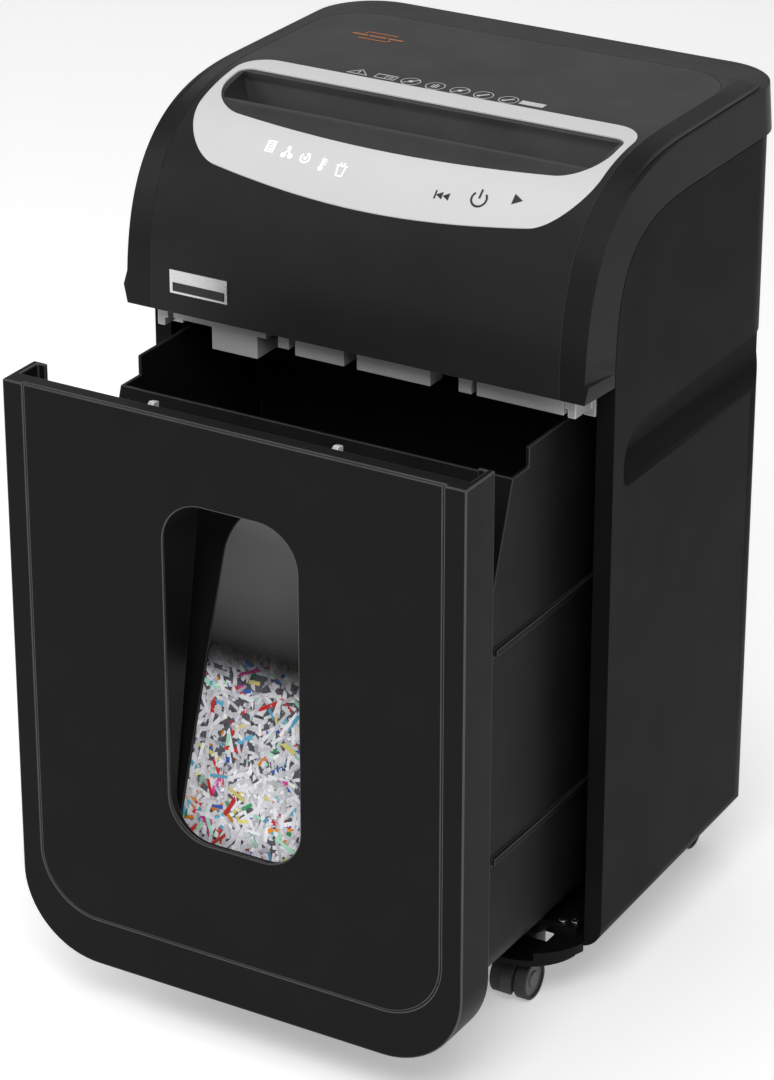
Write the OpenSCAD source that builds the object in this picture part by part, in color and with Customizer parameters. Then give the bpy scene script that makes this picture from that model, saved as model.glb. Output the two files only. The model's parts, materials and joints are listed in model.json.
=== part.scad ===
// Cross-cut paper shredder: a cutting head on a castered cabinet, with a pull-out waste drawer.
// Millimetres. X runs across the front, Y to the back, Z up, and the wheels stand on Z = 0.

/* [Case] */
// Width across the front faces
face_w = 350; // [340:1:360]
// Width across the side faces
side_w = 356; // [350:1:362]
// Depth from the front face of the head to the back of its hood
case_d = 294; // [288:1:304]
// Height from the floor to the top
case_h = 606; // [600:1:616]
// Radius of the upright back corners
corner_r = 45; // [35:1:50]
// Thickness of the moulded shells
wall = 3; // [2.5:0.1:3.5]

/* [Head] */
// Height of the lower edge of the head's front
head_z = 463; // [463:1:466]
// How far back the curved front reaches before the top is flat
curve_run = 149; // [140:1:155]
// Squareness of the curved front, where 2 is an ellipse
curve_power = 2.8; // [2.4:0.1:3.2]
// Depth of the frame band round the head
band_d = 36.5; // [34:0.5:38]
// Half width of the cover between the frame's cheeks
cover_half_w = 157; // [154.5:0.5:158]
// Width of the paper slot
slot_gap = 8; // [7:0.5:9]
// Length of the paper slot
slot_len = 236; // [230:1:240]

/* [Drawer] */
// How far the drawer stands open
drawer_out = 148; // [140:1:150]
// Width of the drawer front
drawer_w = 346; // [340:1:347]
// Height of the drawer front's top edge
drawer_top = 461; // [459:0.5:461.5]
// Height of the drawer front's lower edge
drawer_low = 39; // [39:0.5:40]
// Radius of the drawer front's lower corners
drawer_r = 60; // [50:1:64]
// Depth of the rim round the drawer front
rim_d = 36; // [34:0.5:36]
// Width of the window
window_w = 102; // [96:1:106]
// Height of the window's lower edge
window_low = 158; // [154:1:162]
// Height of the window's upper edge
window_top = 404; // [398:1:406]

/* [Casters] */
// Diameter of the wheels
wheel_d = 30; // [28:1:30]
// Distance from the stem to the axle
caster_trail = 24; // [20:1:24]

/* [Cutter] */
// Distance between the two cutter shafts
shaft_gap = 38; // [38:1:38]
// Number of discs on each shaft
disc_count = 24; // [20:1:24]
// Height of the cutter shafts
shaft_z = 520; // [516:1:524]

/* [Hidden] */
$fn = 64;
caster_names = ["front_left", "front_right", "rear_left", "rear_right"];

// Places along Y
hood_back_y = (case_d + drawer_out) / 2; // back of the hood
rear_y = hood_back_y - 8;                // back of the cabinet, under the hood's overhang
face_y = hood_back_y - case_d;           // front of the head and of the shut drawer
front_y = face_y - drawer_out;           // front of the open drawer
curve_y = face_y + curve_run;            // where the curved front meets the flat top
side_front_y = face_y + band_d + 0.5;    // front edge of the side panels
slot_y = face_y + 83;                    // centre of the paper slot
cover_back_y = rear_y - 34;              // back edge of the top cover

// Head
curve_rise = case_h - head_z;
curve_steps = 40;
cover_gap = 0.4;
cover_corner_r = 40;
panel_low_y = face_y + 18;               // lower edge of the control panel, on the curve
panel_back_y = face_y + 126;             // its back edge, on the flat top
panel_half_w = 152;
throat_half_w = 147;
throat_front_y = slot_y - 34;
throat_back_y = slot_y + 24;
funnel_z = case_h - 34;                  // level of the slot's mouth
slot_low_z = case_h - 50;
roll_r = 10;                             // radius of the funnel's rolled front lip
scoop_r = 32;                            // radius of the hollow at each end of the funnel
scoop_x = throat_half_w - 35;

// Cabinet
case_low = 42;                           // lowest edge of the side panels
low_corner_r = 18;
underside_lean = 2.2;                    // degrees that the underside rises to the back
back_low_r = 45;
grip_low = 385;
grip_high = 427;
grip_floor = 405;                        // where its sloping floor meets its upright wall
grip_depth = 9;
grip_front_y = side_front_y + 15;
tray_z = 50;                             // underside of the base tray
tray_t = 4;
tray_half_w = 158;
tray_back_y = rear_y - 31;
toe_low = 38.4;                          // toes beside the shut drawer's lower corners
toe_high = 45;
toe_in_x = 142;
toe_out_x = 166;
toe_front_y = face_y + 2;
apron_low = 34;
apron_high = 38.5;
apron_half_w = 160;
apron_r = 40;

// Drawer
front_t = 5;
facing_t = 2.4;
facing_side = 16;                        // frame showing beside the facing
facing_low = 35;                         // frame showing below the facing
facing_r = 45;
window_r = 30;
rim_t = 5;                               // thickness of the rim, and how far its back edge turns in
rim_return = 6;
lip_d = 14;
bin_half_w = 150;
bin_low = 58;
bin_wall = 2.5;
bin_corner_r = 30;                       // radius of its lower edges at the sides and the back
bin_front_y = front_y + 9;
bin_back_y = rear_y - 13 - drawer_out;
bin_rim = 425;
bin_back_rim = 428;
bin_side_rim = 439;
bin_step_y = front_y + 122;              // where the bin's sides rise to the higher rim
bin_lean = 0.346;                        // how far its front leans back for each unit of height
bin_lean_z = window_low + 2;
shroud_lean = 0.171;                     // the same for the back edge of the window's shroud
heap_top = 266;                          // level of the shredded paper
tab_x = 69;

// Cutter
disc_pitch = slot_len / disc_count;
disc_t = disc_pitch / 2 - 0.3;
disc_r = 21;
hub_r = 15;
plate_x = slot_len / 2 + 6;              // inner face of the side plates
plate_t = 3;
journal_r = 8;
front_shaft_y = slot_y - shaft_gap / 2;
rear_shaft_y = slot_y + shaft_gap / 2;

// Gear train: teeth and modules
mesh_teeth = 19;
mesh_module = 2;
drive_teeth = 50;
pinion_teeth = 14;
drive_module = 1.5;
wheel_teeth = 72;
motor_teeth = 12;
motor_module = 1;
idler_angle = 10;
motor_angle = -25;
idler_reach = (drive_teeth + pinion_teeth) * drive_module / 2;
motor_reach = (wheel_teeth + motor_teeth) * motor_module / 2;
idler_y = rear_shaft_y + idler_reach * cos(idler_angle);
idler_z = shaft_z + idler_reach * sin(idler_angle);
motor_y = idler_y + motor_reach * cos(motor_angle);
motor_z = idler_z + motor_reach * sin(motor_angle);
mesh_gear_x = plate_x + plate_t + 3;
mesh_gear_t = 8;
drive_gear_x = mesh_gear_x + mesh_gear_t + 3;
drive_gear_t = 7;
idler_wheel_x = drive_gear_x + drive_gear_t + 2;
idler_wheel_t = 5;
motor_r = 32;
motor_len = 96;

// Casters: stem places, and which way each one trails
caster_x = 122;
caster_front_y = side_front_y + 7.5;
caster_rear_y = rear_y - 44;
stem_r = 5;
axle_r = 2.5;
wheel_t = 9;
fork_t = 9;

black = "#1c1c1c";
deep_black = "#101010";
pale_grey = "#b9babb";
steel = "#8d9094";

// ---- Outlines and helpers ----

// A point on the head's curved front, moved inwards by inset.
function head_point(angle, inset) =
    let (u = pow(cos(angle), 2 / curve_power), w = pow(sin(angle), 2 / curve_power),
         slope = [-pow(u, curve_power - 1) / curve_run, pow(w, curve_power - 1) / curve_rise])
    [curve_y - curve_run * u, head_z + curve_rise * w] - inset * slope / norm(slope);

// The head's side outline, from its lower front edge over the top to back_y, closed at low_z.
function head_outline(inset, back_y, low_z) = concat(
    [[face_y + inset, low_z]],
    [for (i = [0 : curve_steps]) head_point(90 * i / curve_steps, inset)],
    [[back_y, case_h - inset], [back_y, low_z]]);

// A shape drawn in Y and Z, pushed out along X.
module along_x(x_low, x_high)
    translate([x_low, 0, 0]) rotate([90, 0, 90]) linear_extrude(x_high - x_low) children();

// A shape drawn in X and Z, pushed back along Y.
module along_y(y_low, y_high)
    translate([0, y_high, 0]) rotate([90, 0, 0]) linear_extrude(y_high - y_low) children();

module head_prism(inset, half_w, back_y = rear_y, low_z = head_z)
    along_x(-half_w, half_w) polygon(head_outline(inset, back_y, low_z));

// Plan outline with square front corners and round back ones.
module plan(half_w, y_low, y_high, r) {
    translate([-half_w, y_low]) square([2 * half_w, y_high - y_low - r]);
    translate([-half_w + r, y_low]) square([2 * (half_w - r), y_high - y_low]);
    for (side = [-1, 1]) translate([side * (half_w - r), y_high - r]) circle(r);
}

// Upright rectangle with its own radius at the lower and the upper corners.
module upright(half_w, low, high, low_r, high_r) {
    translate([-half_w, low + low_r]) square([2 * half_w, high - low - low_r - high_r]);
    for (side = [-1, 1]) translate([side * (half_w - low_r), low + low_r]) circle(low_r);
    translate([-half_w + low_r, low]) square([2 * (half_w - low_r), low_r + 1]);
    if (high_r > 0) {
        for (side = [-1, 1]) translate([side * (half_w - high_r), high - high_r]) circle(high_r);
        translate([-half_w + high_r, high - high_r - 1]) square([2 * (half_w - high_r), high_r + 1]);
    }
}

module bar(low, high)
    translate(low) cube(high - low);

module rod(x_low, x_high, y, z, r)
    translate([x_low, y, z]) rotate([0, 90, 0]) cylinder(x_high - x_low, r, r);

module screw(at, r = 3.2)
    translate(at) {
        cylinder(1.8, r, r * 0.8);
        translate([0, 0, -3.4]) cylinder(3.4, 1.45, 1.45);
    }

// ---- Head covers ----

module hood_frame()
    color(black) difference() {
        intersection() {
            head_prism(0, face_w / 2, hood_back_y);
            translate([0, 0, head_z - 1]) linear_extrude(case_h)
                plan(face_w / 2, face_y - 1, hood_back_y, corner_r);
        }
        intersection() {
            head_prism(wall, face_w / 2 - wall, rear_y - wall, head_z - 2);
            translate([0, 0, head_z - 3]) linear_extrude(case_h)
                plan(face_w / 2 - wall, face_y - 1, rear_y - wall, corner_r - wall);
        }
        head_prism(band_d, face_w, hood_back_y + 1, head_z - 2);
        translate([0, 0, head_z - 1]) linear_extrude(case_h)
            plan(cover_half_w, face_y - 2, cover_back_y, cover_corner_r);
    }

// Round corners, and a front edge that bows forward by bow in the middle. The front corners are
// tangent to the bow.
module panel_outline(half_w, y_low, y_high, front_r, back_r, bow) {
    bow_r = (half_w * half_w + bow * bow) / (2 * bow);
    corner_x = half_w - front_r;
    corner_y = y_low + bow_r - sqrt(pow(bow_r - front_r, 2) - corner_x * corner_x);
    meet_x = corner_x * bow_r / (bow_r - front_r);
    intersection() {
        translate([0, y_low + bow_r]) circle(bow_r, $fn = 256);
        translate([-meet_x, y_low - 1]) square([2 * meet_x, corner_y - y_low + 2]);
    }
    translate([-half_w, corner_y]) square([2 * half_w, y_high - corner_y - back_r]);
    translate([-half_w + back_r, y_high - back_r - 1]) square([2 * (half_w - back_r), back_r + 1]);
    for (side = [-1, 1]) {
        translate([side * corner_x, corner_y]) intersection() {
            circle(front_r, $fn = 128);
            translate([-front_r, -front_r]) square([2 * front_r, front_r + 0.5]);
        }
        translate([side * (half_w - back_r), y_high - back_r]) circle(back_r);
    }
}

module panel_shape(grow = 0)
    panel_outline(panel_half_w + grow, panel_low_y - grow, panel_back_y + grow, 38 + grow, 22 + grow, 10);

module throat_shape(grow = 0)
    panel_outline(throat_half_w + grow, throat_front_y - grow, throat_back_y + grow, 32 + grow, 9 + grow, 10);

module top_cover()
    color(black) difference() {
        union() {
            intersection() {
                difference() {
                    head_prism(0, cover_half_w - cover_gap);
                    head_prism(wall, face_w, rear_y + 1, head_z - 2);
                }
                translate([0, 0, head_z - 1]) linear_extrude(case_h)
                    plan(cover_half_w - cover_gap, face_y - 2, cover_back_y - cover_gap,
                         cover_corner_r - cover_gap);
            }
            // Return along the lower front edge
            bar([-cover_half_w + cover_gap, face_y + wall - 0.5, head_z],
                [cover_half_w - cover_gap, face_y + 9, head_z + 2.5]);
        }
        translate([0, 0, head_z + 20]) linear_extrude(case_h) panel_shape(0.3);
        plate_block(0.1);
    }

module control_panel()
    color(pale_grey) difference() {
        intersection() {
            difference() {
                head_prism(0, panel_half_w + 1);
                head_prism(wall, face_w, rear_y + 1, head_z - 2);
            }
            translate([0, 0, head_z + 20]) linear_extrude(case_h) panel_shape();
        }
        translate([0, 0, head_z]) linear_extrude(case_h) throat_shape();
    }

// Section of the funnel's hollow: a rolled lip in front and a steep wall behind
module funnel_section() {
    roll_y = slot_y - slot_gap / 2 - roll_r;
    roll_z = case_h - 11.5 - roll_r;
    difference() {
        polygon([
            [roll_y, funnel_z], [slot_y + slot_gap / 2, funnel_z], [throat_back_y - 6, case_h - 9],
            [throat_back_y - 4, case_h + 5], [face_y, case_h + 5], [face_y, roll_z - 20],
            [throat_front_y, roll_z + roll_r - 7], [roll_y, roll_z + roll_r]]);
        translate([roll_y, roll_z]) circle(roll_r);
        translate([roll_y - 1, head_z]) square([roll_r + 1, roll_z - head_z]);
    }
}

// Funnel that guides paper into the slot
module throat_insert()
    color(deep_black) difference() {
        union() {
            intersection() {
                translate([0, 0, funnel_z - 3]) linear_extrude(case_h) throat_shape(-0.4);
                head_prism(1, face_w);
            }
            bar([-slot_len / 2 - 3, slot_y - slot_gap / 2 - 2.5, slot_low_z],
                [slot_len / 2 + 3, slot_y + slot_gap / 2 + 2.5, funnel_z - 2]);
        }
        intersection() {
            translate([0, 0, funnel_z - 1]) linear_extrude(case_h) throat_shape(-1.8);
            along_x(-throat_half_w, throat_half_w) funnel_section();
            union() {
                bar([-scoop_x, throat_front_y - 5, funnel_z - 1], [scoop_x, throat_back_y, case_h + 5]);
                for (side = [-1, 1]) translate([side * scoop_x, throat_front_y - 5, case_h + 2])
                    rotate([-90, 0, 0]) cylinder(throat_back_y - throat_front_y + 2, scoop_r, scoop_r);
            }
        }
        bar([-slot_len / 2, slot_y - slot_gap / 2, slot_low_z - 1],
            [slot_len / 2, slot_y + slot_gap / 2, funnel_z + 9]);
    }

lamp_count = 5;
lamp_pitch = 14.2;
lamp_first_x = -82.5;

// Light guides under the status marks
module status_lights()
    color("white") for (i = [0 : lamp_count - 1]) {
        place = head_point(38, wall + 0.2);
        translate([lamp_first_x + i * lamp_pitch, place[0], place[1] - 12]) cylinder(8, 3, 3);
    }

// Board with the touch pads, behind the control panel
module control_board()
    color("#1f5a33") translate([0, face_y + 26, head_z + 92]) rotate([-42, 0, 0])
        bar([-100, 5, -22], [116, 6.6, 12]);

// Blank plate let into the front
module plate_block(grow = 0)
    bar([-140 - grow, face_y - 0.6, head_z + 14.5 - grow], [-94 + grow, face_y + 1.2 + grow, head_z + 31.5 + grow]);

module service_plate()
    color("#a8a8a8") plate_block();

// ---- Head chassis ----

// Blocks along the front of the chassis: x range, lower face, depth
rail_blocks = [
    [-148, -74, 452, 9], [-117, -81, 436, 30], [-64.5, -56, 448, 12], [-51, -13, 445, 16],
    [-3, 53, 445, 16], [74.5, 84, 446, 12], [88, 152, 446, 12],
];

module head_base()
    color(pale_grey) {
        front = face_y + 15;
        difference() {
            union() {
                // Floor of the head, which carries the cutter and the motor
                translate([0, 0, 460]) linear_extrude(3) plan(161, front, rear_y - 8, corner_r - 8);
                for (block = rail_blocks)
                    bar([block[0], front, block[2]], [block[1], front + block[3], 461]);
                for (side = [-1, 1])
                    bar([side * 130 - 12, rear_y - 70, 452], [side * 130 + 12, rear_y - 20, 461]);
            }
            // Outlet under the cutter
            bar([-slot_len / 2 - 4, slot_y - 36, 440], [slot_len / 2 + 4, slot_y + 36, 470]);
            // Slots that the latch tabs enter
            for (x = [-tab_x, tab_x]) bar([x - 4.5, front - 1, 440], [x + 4.5, front + 26, 470]);
        }
    }

// Clips that hold the head's front corners down
module side_clips()
    color(pale_grey) for (side = [0, 1]) mirror([side, 0, 0]) {
        bar([155, face_y + 15, 445], [161, side_front_y + 6, 459.6]);
        bar([152.5, face_y + 15, 451], [155.5, face_y + 25, 459.6]);
        bar([155, side_front_y, 439], [164, side_front_y + 6, 459.6]);
    }

// ---- Cutter block ----

module cutter_plate(side) {
    inner = side > 0 ? plate_x : -plate_x - plate_t;
    color(steel) difference() {
        bar([inner, front_shaft_y - 30, 463.4], [inner + plate_t, rear_shaft_y + 30, shaft_z + 32]);
        for (y = [front_shaft_y, rear_shaft_y]) rod(inner - 1, inner + plate_t + 1, y, shaft_z, 11);
        for (place = tie_places) rod(inner - 1, inner + plate_t + 1, place[0], place[1], 4);
    }
}

tie_places = [
    [front_shaft_y - 24, shaft_z - 22], [rear_shaft_y + 24, shaft_z - 22],
    [front_shaft_y - 24, shaft_z + 24], [rear_shaft_y + 24, shaft_z + 24],
];

module tie_rods()
    color(steel) for (place = tie_places)
        rod(-plate_x - plate_t - 4, plate_x + plate_t + 1.6, place[0], place[1], 4);

module shaft_bearings()
    color("#b08d57") for (y = [front_shaft_y, rear_shaft_y]) for (side = [-1, 1]) {
        outer = side > 0 ? plate_x + plate_t : -plate_x - plate_t - 1.2;
        difference() {
            union() {
                rod(side > 0 ? plate_x - 1 : -plate_x - plate_t, side > 0 ? plate_x + plate_t : -plate_x + 1,
                    y, shaft_z, 11);
                rod(outer, outer + 1.2, y, shaft_z, 13);
            }
            rod(-plate_x - 20, plate_x + 20, y, shaft_z, journal_r + 0.05);
        }
    }

// Comb whose fingers sit between the discs of one shaft and strip the paper off
module stripper_comb(shaft_y, away)
    color(deep_black) difference() {
        union() {
            bar([-plate_x + 0.5, shaft_y + away * 27 - 3, shaft_z - 18],
                [plate_x - 0.5, shaft_y + away * 27 + 3, shaft_z + 18]);
            for (i = [0 : disc_count - 1]) {
                x = -slot_len / 2 + (i + (away < 0 ? 0.75 : 0.25)) * disc_pitch;
                bar([x - disc_t / 2 + 0.4, shaft_y + min(away * 27, away * 4), shaft_z - 17],
                    [x + disc_t / 2 - 0.4, shaft_y + max(away * 27, away * 4), shaft_z + 17]);
            }
        }
        rod(-plate_x, plate_x, shaft_y, shaft_z, hub_r + 0.8);
    }

module cutter_shaft(y, x_end)
    color(steel) {
        rod(-plate_x - plate_t - 3, -slot_len / 2, y, shaft_z, journal_r);
        rod(slot_len / 2, x_end, y, shaft_z, journal_r);
        translate([-slot_len / 2, y, shaft_z]) rotate([0, 90, 0]) cylinder(slot_len, 11, 11, $fn = 6);
    }

hooks = 4;
hook_step = 360 / hooks;
disc_twist = 24;                         // turn from each disc to the next
disc_points = [for (i = [0 : hooks - 1]) each [
    for (step = [[0, -4], [3, 0], [22, 0], [42, 0], [62, -0.3], [80, -2]])
        (disc_r + step[1]) * [cos(i * hook_step + step[0]), sin(i * hook_step + step[0])]]];

// Discs on their common hub; shift sets which half of each pitch the discs take
module cutter_discs(y, shift)
    color("#73767a") translate([-slot_len / 2, y, shaft_z]) rotate([90, 0, 90]) difference() {
        union() {
            cylinder(slot_len, hub_r, hub_r);
            for (i = [0 : disc_count - 1]) translate([0, 0, (i + shift) * disc_pitch + 0.15])
                rotate(i * disc_twist) linear_extrude(disc_t) polygon(disc_points);
        }
        translate([0, 0, -1]) rotate(-90) cylinder(slot_len + 2, 11.06, 11.06, $fn = 6);
    }

// ---- Gears ----

pressure = 20;
function involute(angle) = tan(angle) * 180 / PI - angle;
function gear_points(teeth, module_size, play) =
    let (pitch_r = teeth * module_size / 2, base_r = pitch_r * cos(pressure),
         tip_r = pitch_r + 0.7 * module_size, root_r = pitch_r - module_size,
         low_r = max(base_r, root_r + 0.05),
         half = 90 / teeth - play / pitch_r * 90 / PI + involute(pressure))
    [for (i = [0 : teeth - 1]) each let (middle = i * 360 / teeth) concat(
        [root_r * [cos(middle - half), sin(middle - half)]],
        [for (s = [0 : 3]) let (r = low_r + (tip_r - low_r) * s / 3, a = half - involute(acos(base_r / r)))
            r * [cos(middle - a), sin(middle - a)]],
        [for (s = [3 : -1 : 0]) let (r = low_r + (tip_r - low_r) * s / 3, a = half - involute(acos(base_r / r)))
            r * [cos(middle + a), sin(middle + a)]],
        [root_r * [cos(middle + half), sin(middle + half)]])];

// The turn that puts a second gear in mesh with a first one turned by phase, along the given angle.
function mesh_turn(angle, phase, teeth_1, teeth_2) =
    angle + 180 - (phase - angle) * teeth_1 / teeth_2 + 180 / teeth_2;

module gear(x, y, z, thick, teeth, module_size, turn, bore_r)
    translate([x, y, z]) rotate([90, 0, 90]) difference() {
        rotate(turn) linear_extrude(thick) polygon(gear_points(teeth, module_size, 0.2));
        translate([0, 0, -1]) cylinder(thick + 2, bore_r, bore_r);
    }

rear_turn = 0;
front_turn = mesh_turn(180, rear_turn, mesh_teeth, mesh_teeth);
drive_turn = 0;
pinion_turn = mesh_turn(idler_angle, drive_turn, drive_teeth, pinion_teeth);
wheel_turn = 0;
motor_turn = mesh_turn(motor_angle, wheel_turn, wheel_teeth, motor_teeth);

module mesh_gear_front() color(steel)
    gear(mesh_gear_x, front_shaft_y, shaft_z, mesh_gear_t, mesh_teeth, mesh_module, front_turn, journal_r);
module mesh_gear_rear() color(steel)
    gear(mesh_gear_x, rear_shaft_y, shaft_z, mesh_gear_t, mesh_teeth, mesh_module, rear_turn, journal_r);
module drive_gear() color("#55585c")
    gear(drive_gear_x, rear_shaft_y, shaft_z, drive_gear_t, drive_teeth, drive_module, drive_turn, journal_r);

module idler_gear()
    color("#d8d2c0") {
        gear(drive_gear_x, idler_y, idler_z, drive_gear_t + 2.01, pinion_teeth, drive_module, pinion_turn, 4.05);
        gear(idler_wheel_x, idler_y, idler_z, idler_wheel_t, wheel_teeth, motor_module, wheel_turn, 4.05);
    }

module idler_axle()
    color(steel) rod(mesh_gear_x - 3, idler_wheel_x + idler_wheel_t + 3, idler_y, idler_z, 4);

module motor_pinion()
    color("#b08d57") {
        gear(idler_wheel_x - 1, motor_y, motor_z, idler_wheel_t + 2, motor_teeth, motor_module, motor_turn, 2.5);
        rod(mesh_gear_x - 18, idler_wheel_x + idler_wheel_t + 2, motor_y, motor_z, 2.5);
    }

module motor()
    color("#3a3d42") difference() {
        union() {
            rod(mesh_gear_x - 4 - motor_len, mesh_gear_x - 4, motor_y, motor_z, motor_r);
            rod(mesh_gear_x - 12 - motor_len, mesh_gear_x - 4 - motor_len, motor_y, motor_z, 12);
            rod(mesh_gear_x - 4, mesh_gear_x - 0.1, motor_y, motor_z, 9);
        }
        rod(mesh_gear_x - 20, mesh_gear_x + 4, motor_y, motor_z, 2.55);
    }

// Plate that carries the motor and the idler axle
module motor_bracket()
    color(steel) difference() {
        bar([mesh_gear_x - 3, rear_shaft_y + 34, 463.4], [mesh_gear_x, motor_y + 34, 552]);
        rod(mesh_gear_x - 4, mesh_gear_x + 1, idler_y, idler_z, 4);
        rod(mesh_gear_x - 4, mesh_gear_x + 1, motor_y, motor_z, 9.2);
    }

// Cover over the outer side of the gears
module gear_cover()
    color(deep_black) {
        x = idler_wheel_x + idler_wheel_t + 3.5;
        bar([x, front_shaft_y - 26, 463.2], [x + 2, motor_y + 30, 566]);
        bar([plate_x + plate_t + 1, front_shaft_y - 26, 566], [x + 2, motor_y + 30, 568]);
    }

module power_board()
    color("#1f5a33") {
        bar([-150, rear_y - 110, 468], [-30, rear_y - 30, 469.6]);
        for (y = [rear_y - 100, rear_y - 70]) bar([-140, y, 469.6], [-116, y + 20, 488]);
        translate([-80, rear_y - 60, 469.6]) cylinder(30, 12, 12);
        for (x = [-146, -34]) for (y = [rear_y - 106, rear_y - 34])
            translate([x, y, 463]) cylinder(5, 3, 3);
    }

module paper_sensor()
    color(deep_black) for (side = [-1, 1])
        bar([-9, slot_y + side * 11 - 4, slot_low_z + 1], [9, slot_y + side * 11 + 4, slot_low_z + 13]);

// Fork-shaped sensor that a latch tab enters when the drawer is shut
module door_sensor()
    color(deep_black) difference() {
        bar([-tab_x - 9, face_y + 28, 448], [-tab_x + 9, face_y + 45, 459.8]);
        bar([-tab_x - 4.5, face_y + 27, 447], [-tab_x + 4.5, face_y + 39, 460.8]);
    }

// ---- Cabinet ----

// The cabinet's outer form, moved inwards by inset
module cabinet_form(inset)
    intersection() {
        translate([0, 0, 20]) linear_extrude(case_h)
            plan(side_w / 2 - inset, side_front_y - inset * 20, rear_y - inset, corner_r - inset);
        translate([0, side_front_y, case_low]) rotate([underside_lean, 0, 0])
            translate([0, -side_front_y, -case_low])
                along_y(side_front_y - 60, rear_y + 20)
                    upright(side_w / 2 - inset, case_low + inset, case_h + 60, low_corner_r - inset, 0);
        along_x(-side_w, side_w) difference() {
            polygon(concat(
                [[side_front_y - 80 * min(inset, 1), 0]],
                [[side_front_y - 80 * min(inset, 1), head_z]],
                [for (i = [0 : curve_steps]) head_point(90 * i / curve_steps, band_d + 0.5 - inset * 0.01)],
                [[rear_y + 1, case_h - band_d - 0.5], [rear_y + 1, 0]]));
            translate([rear_y - back_low_r, 0]) difference() {
                square([back_low_r + 2, back_low_r + 50]);
                translate([0, back_low_r + 50]) circle(back_low_r - inset);
            }
        }
    }

// Recess for the hand along the side and round the back corner
module grip_cut(grow = 0) {
    half = side_w / 2;
    tip_r = 8;
    top_r = 26;
    y_low = grip_front_y - grow;
    intersection() {
        union() {
            along_y(y_low - 1, rear_y + 3) polygon([
                [half - grip_depth - grow, grip_high + grow], [half + 5, grip_high + grow],
                [half + 5, grip_low - grow], [half, grip_low - grow],
                [half - grip_depth - grow, grip_floor - grow]]);
            along_x(half - corner_r - 8 - grow, half + 3) polygon([
                [rear_y - grip_depth - grow, grip_high + grow], [rear_y + 3, grip_high + grow],
                [rear_y + 3, grip_low - grow], [rear_y, grip_low - grow],
                [rear_y - grip_depth - grow, grip_floor - grow]]);
        }
        along_x(half - corner_r - 12, half + 6) {
            translate([y_low + tip_r, grip_low + tip_r - grow]) circle(tip_r);
            translate([y_low + top_r, grip_high - top_r + grow]) circle(top_r);
            polygon([[y_low, grip_low + tip_r - grow], [y_low + tip_r, grip_low - grow],
                [rear_y + 4, grip_low - grow], [rear_y + 4, grip_high + grow],
                [y_low + top_r, grip_high + grow], [y_low, grip_high - top_r + grow]]);
        }
    }
}

module cabinet_shell()
    difference() {
        cabinet_form(0);
        cabinet_form(wall);
    }

module side_panel_half()
    difference() {
        intersection() {
            union() {
                cabinet_shell();
                intersection() {
                    cabinet_form(0);
                    union() {
                        // Front return and the walls of the grip recess
                        bar([side_w / 2 - 13, side_front_y, case_low + 1],
                            [side_w / 2, side_front_y + 3, head_z]);
                        grip_cut(wall);
                    }
                }
            }
            bar([side_w / 2 - corner_r - 10, side_front_y - 1, 0], [side_w, rear_y + 1, case_h]);
        }
        grip_cut();
        bar([0, side_front_y - 1, 0], [tray_half_w + 0.4, tray_back_y + 0.4, tray_z + tray_t + 2]);
    }

module side_panel_right() color(black) side_panel_half();
module side_panel_left() color(black) mirror([1, 0, 0]) side_panel_half();

vent_count = 9;
vent_z = 490;
gland_at = [-90, vent_z - 6];

module rear_panel() {
    half = side_w / 2 - corner_r - 10.4;
    color(black) difference() {
        intersection() {
            cabinet_shell();
            bar([-half, tray_back_y + 0.4, 0], [half, rear_y + 1, case_h]);
        }
        bar([-face_w, 0, case_h - band_d - 6], [face_w, rear_y - wall - 0.1, case_h]);
        for (i = [0 : vent_count - 1]) bar([-60, rear_y - 5, vent_z + i * 7], [60, rear_y + 1, vent_z + 3 + i * 7]);
        translate([gland_at[0], rear_y + 1, gland_at[1]]) rotate([90, 0, 0]) {
            cylinder(6, 6, 6);
            cylinder(2.3, 9.1, 9.1);
        }
    }
}

// Ring that the mains lead passes through
module cord_gland()
    color(deep_black) translate([gland_at[0], rear_y, gland_at[1]]) rotate([90, 0, 0]) difference() {
        union() {
            cylinder(8, 5.95, 5.95);
            cylinder(1.2, 9, 9);
        }
        translate([0, 0, -1]) cylinder(12, 3.5, 3.5);
    }

// Stems of the four casters
function caster_place(i) = [(i % 2 == 0 ? -1 : 1) * caster_x, i < 2 ? caster_front_y : caster_rear_y];
function caster_way(i) = i < 2 ? -1 : 1;

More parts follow.
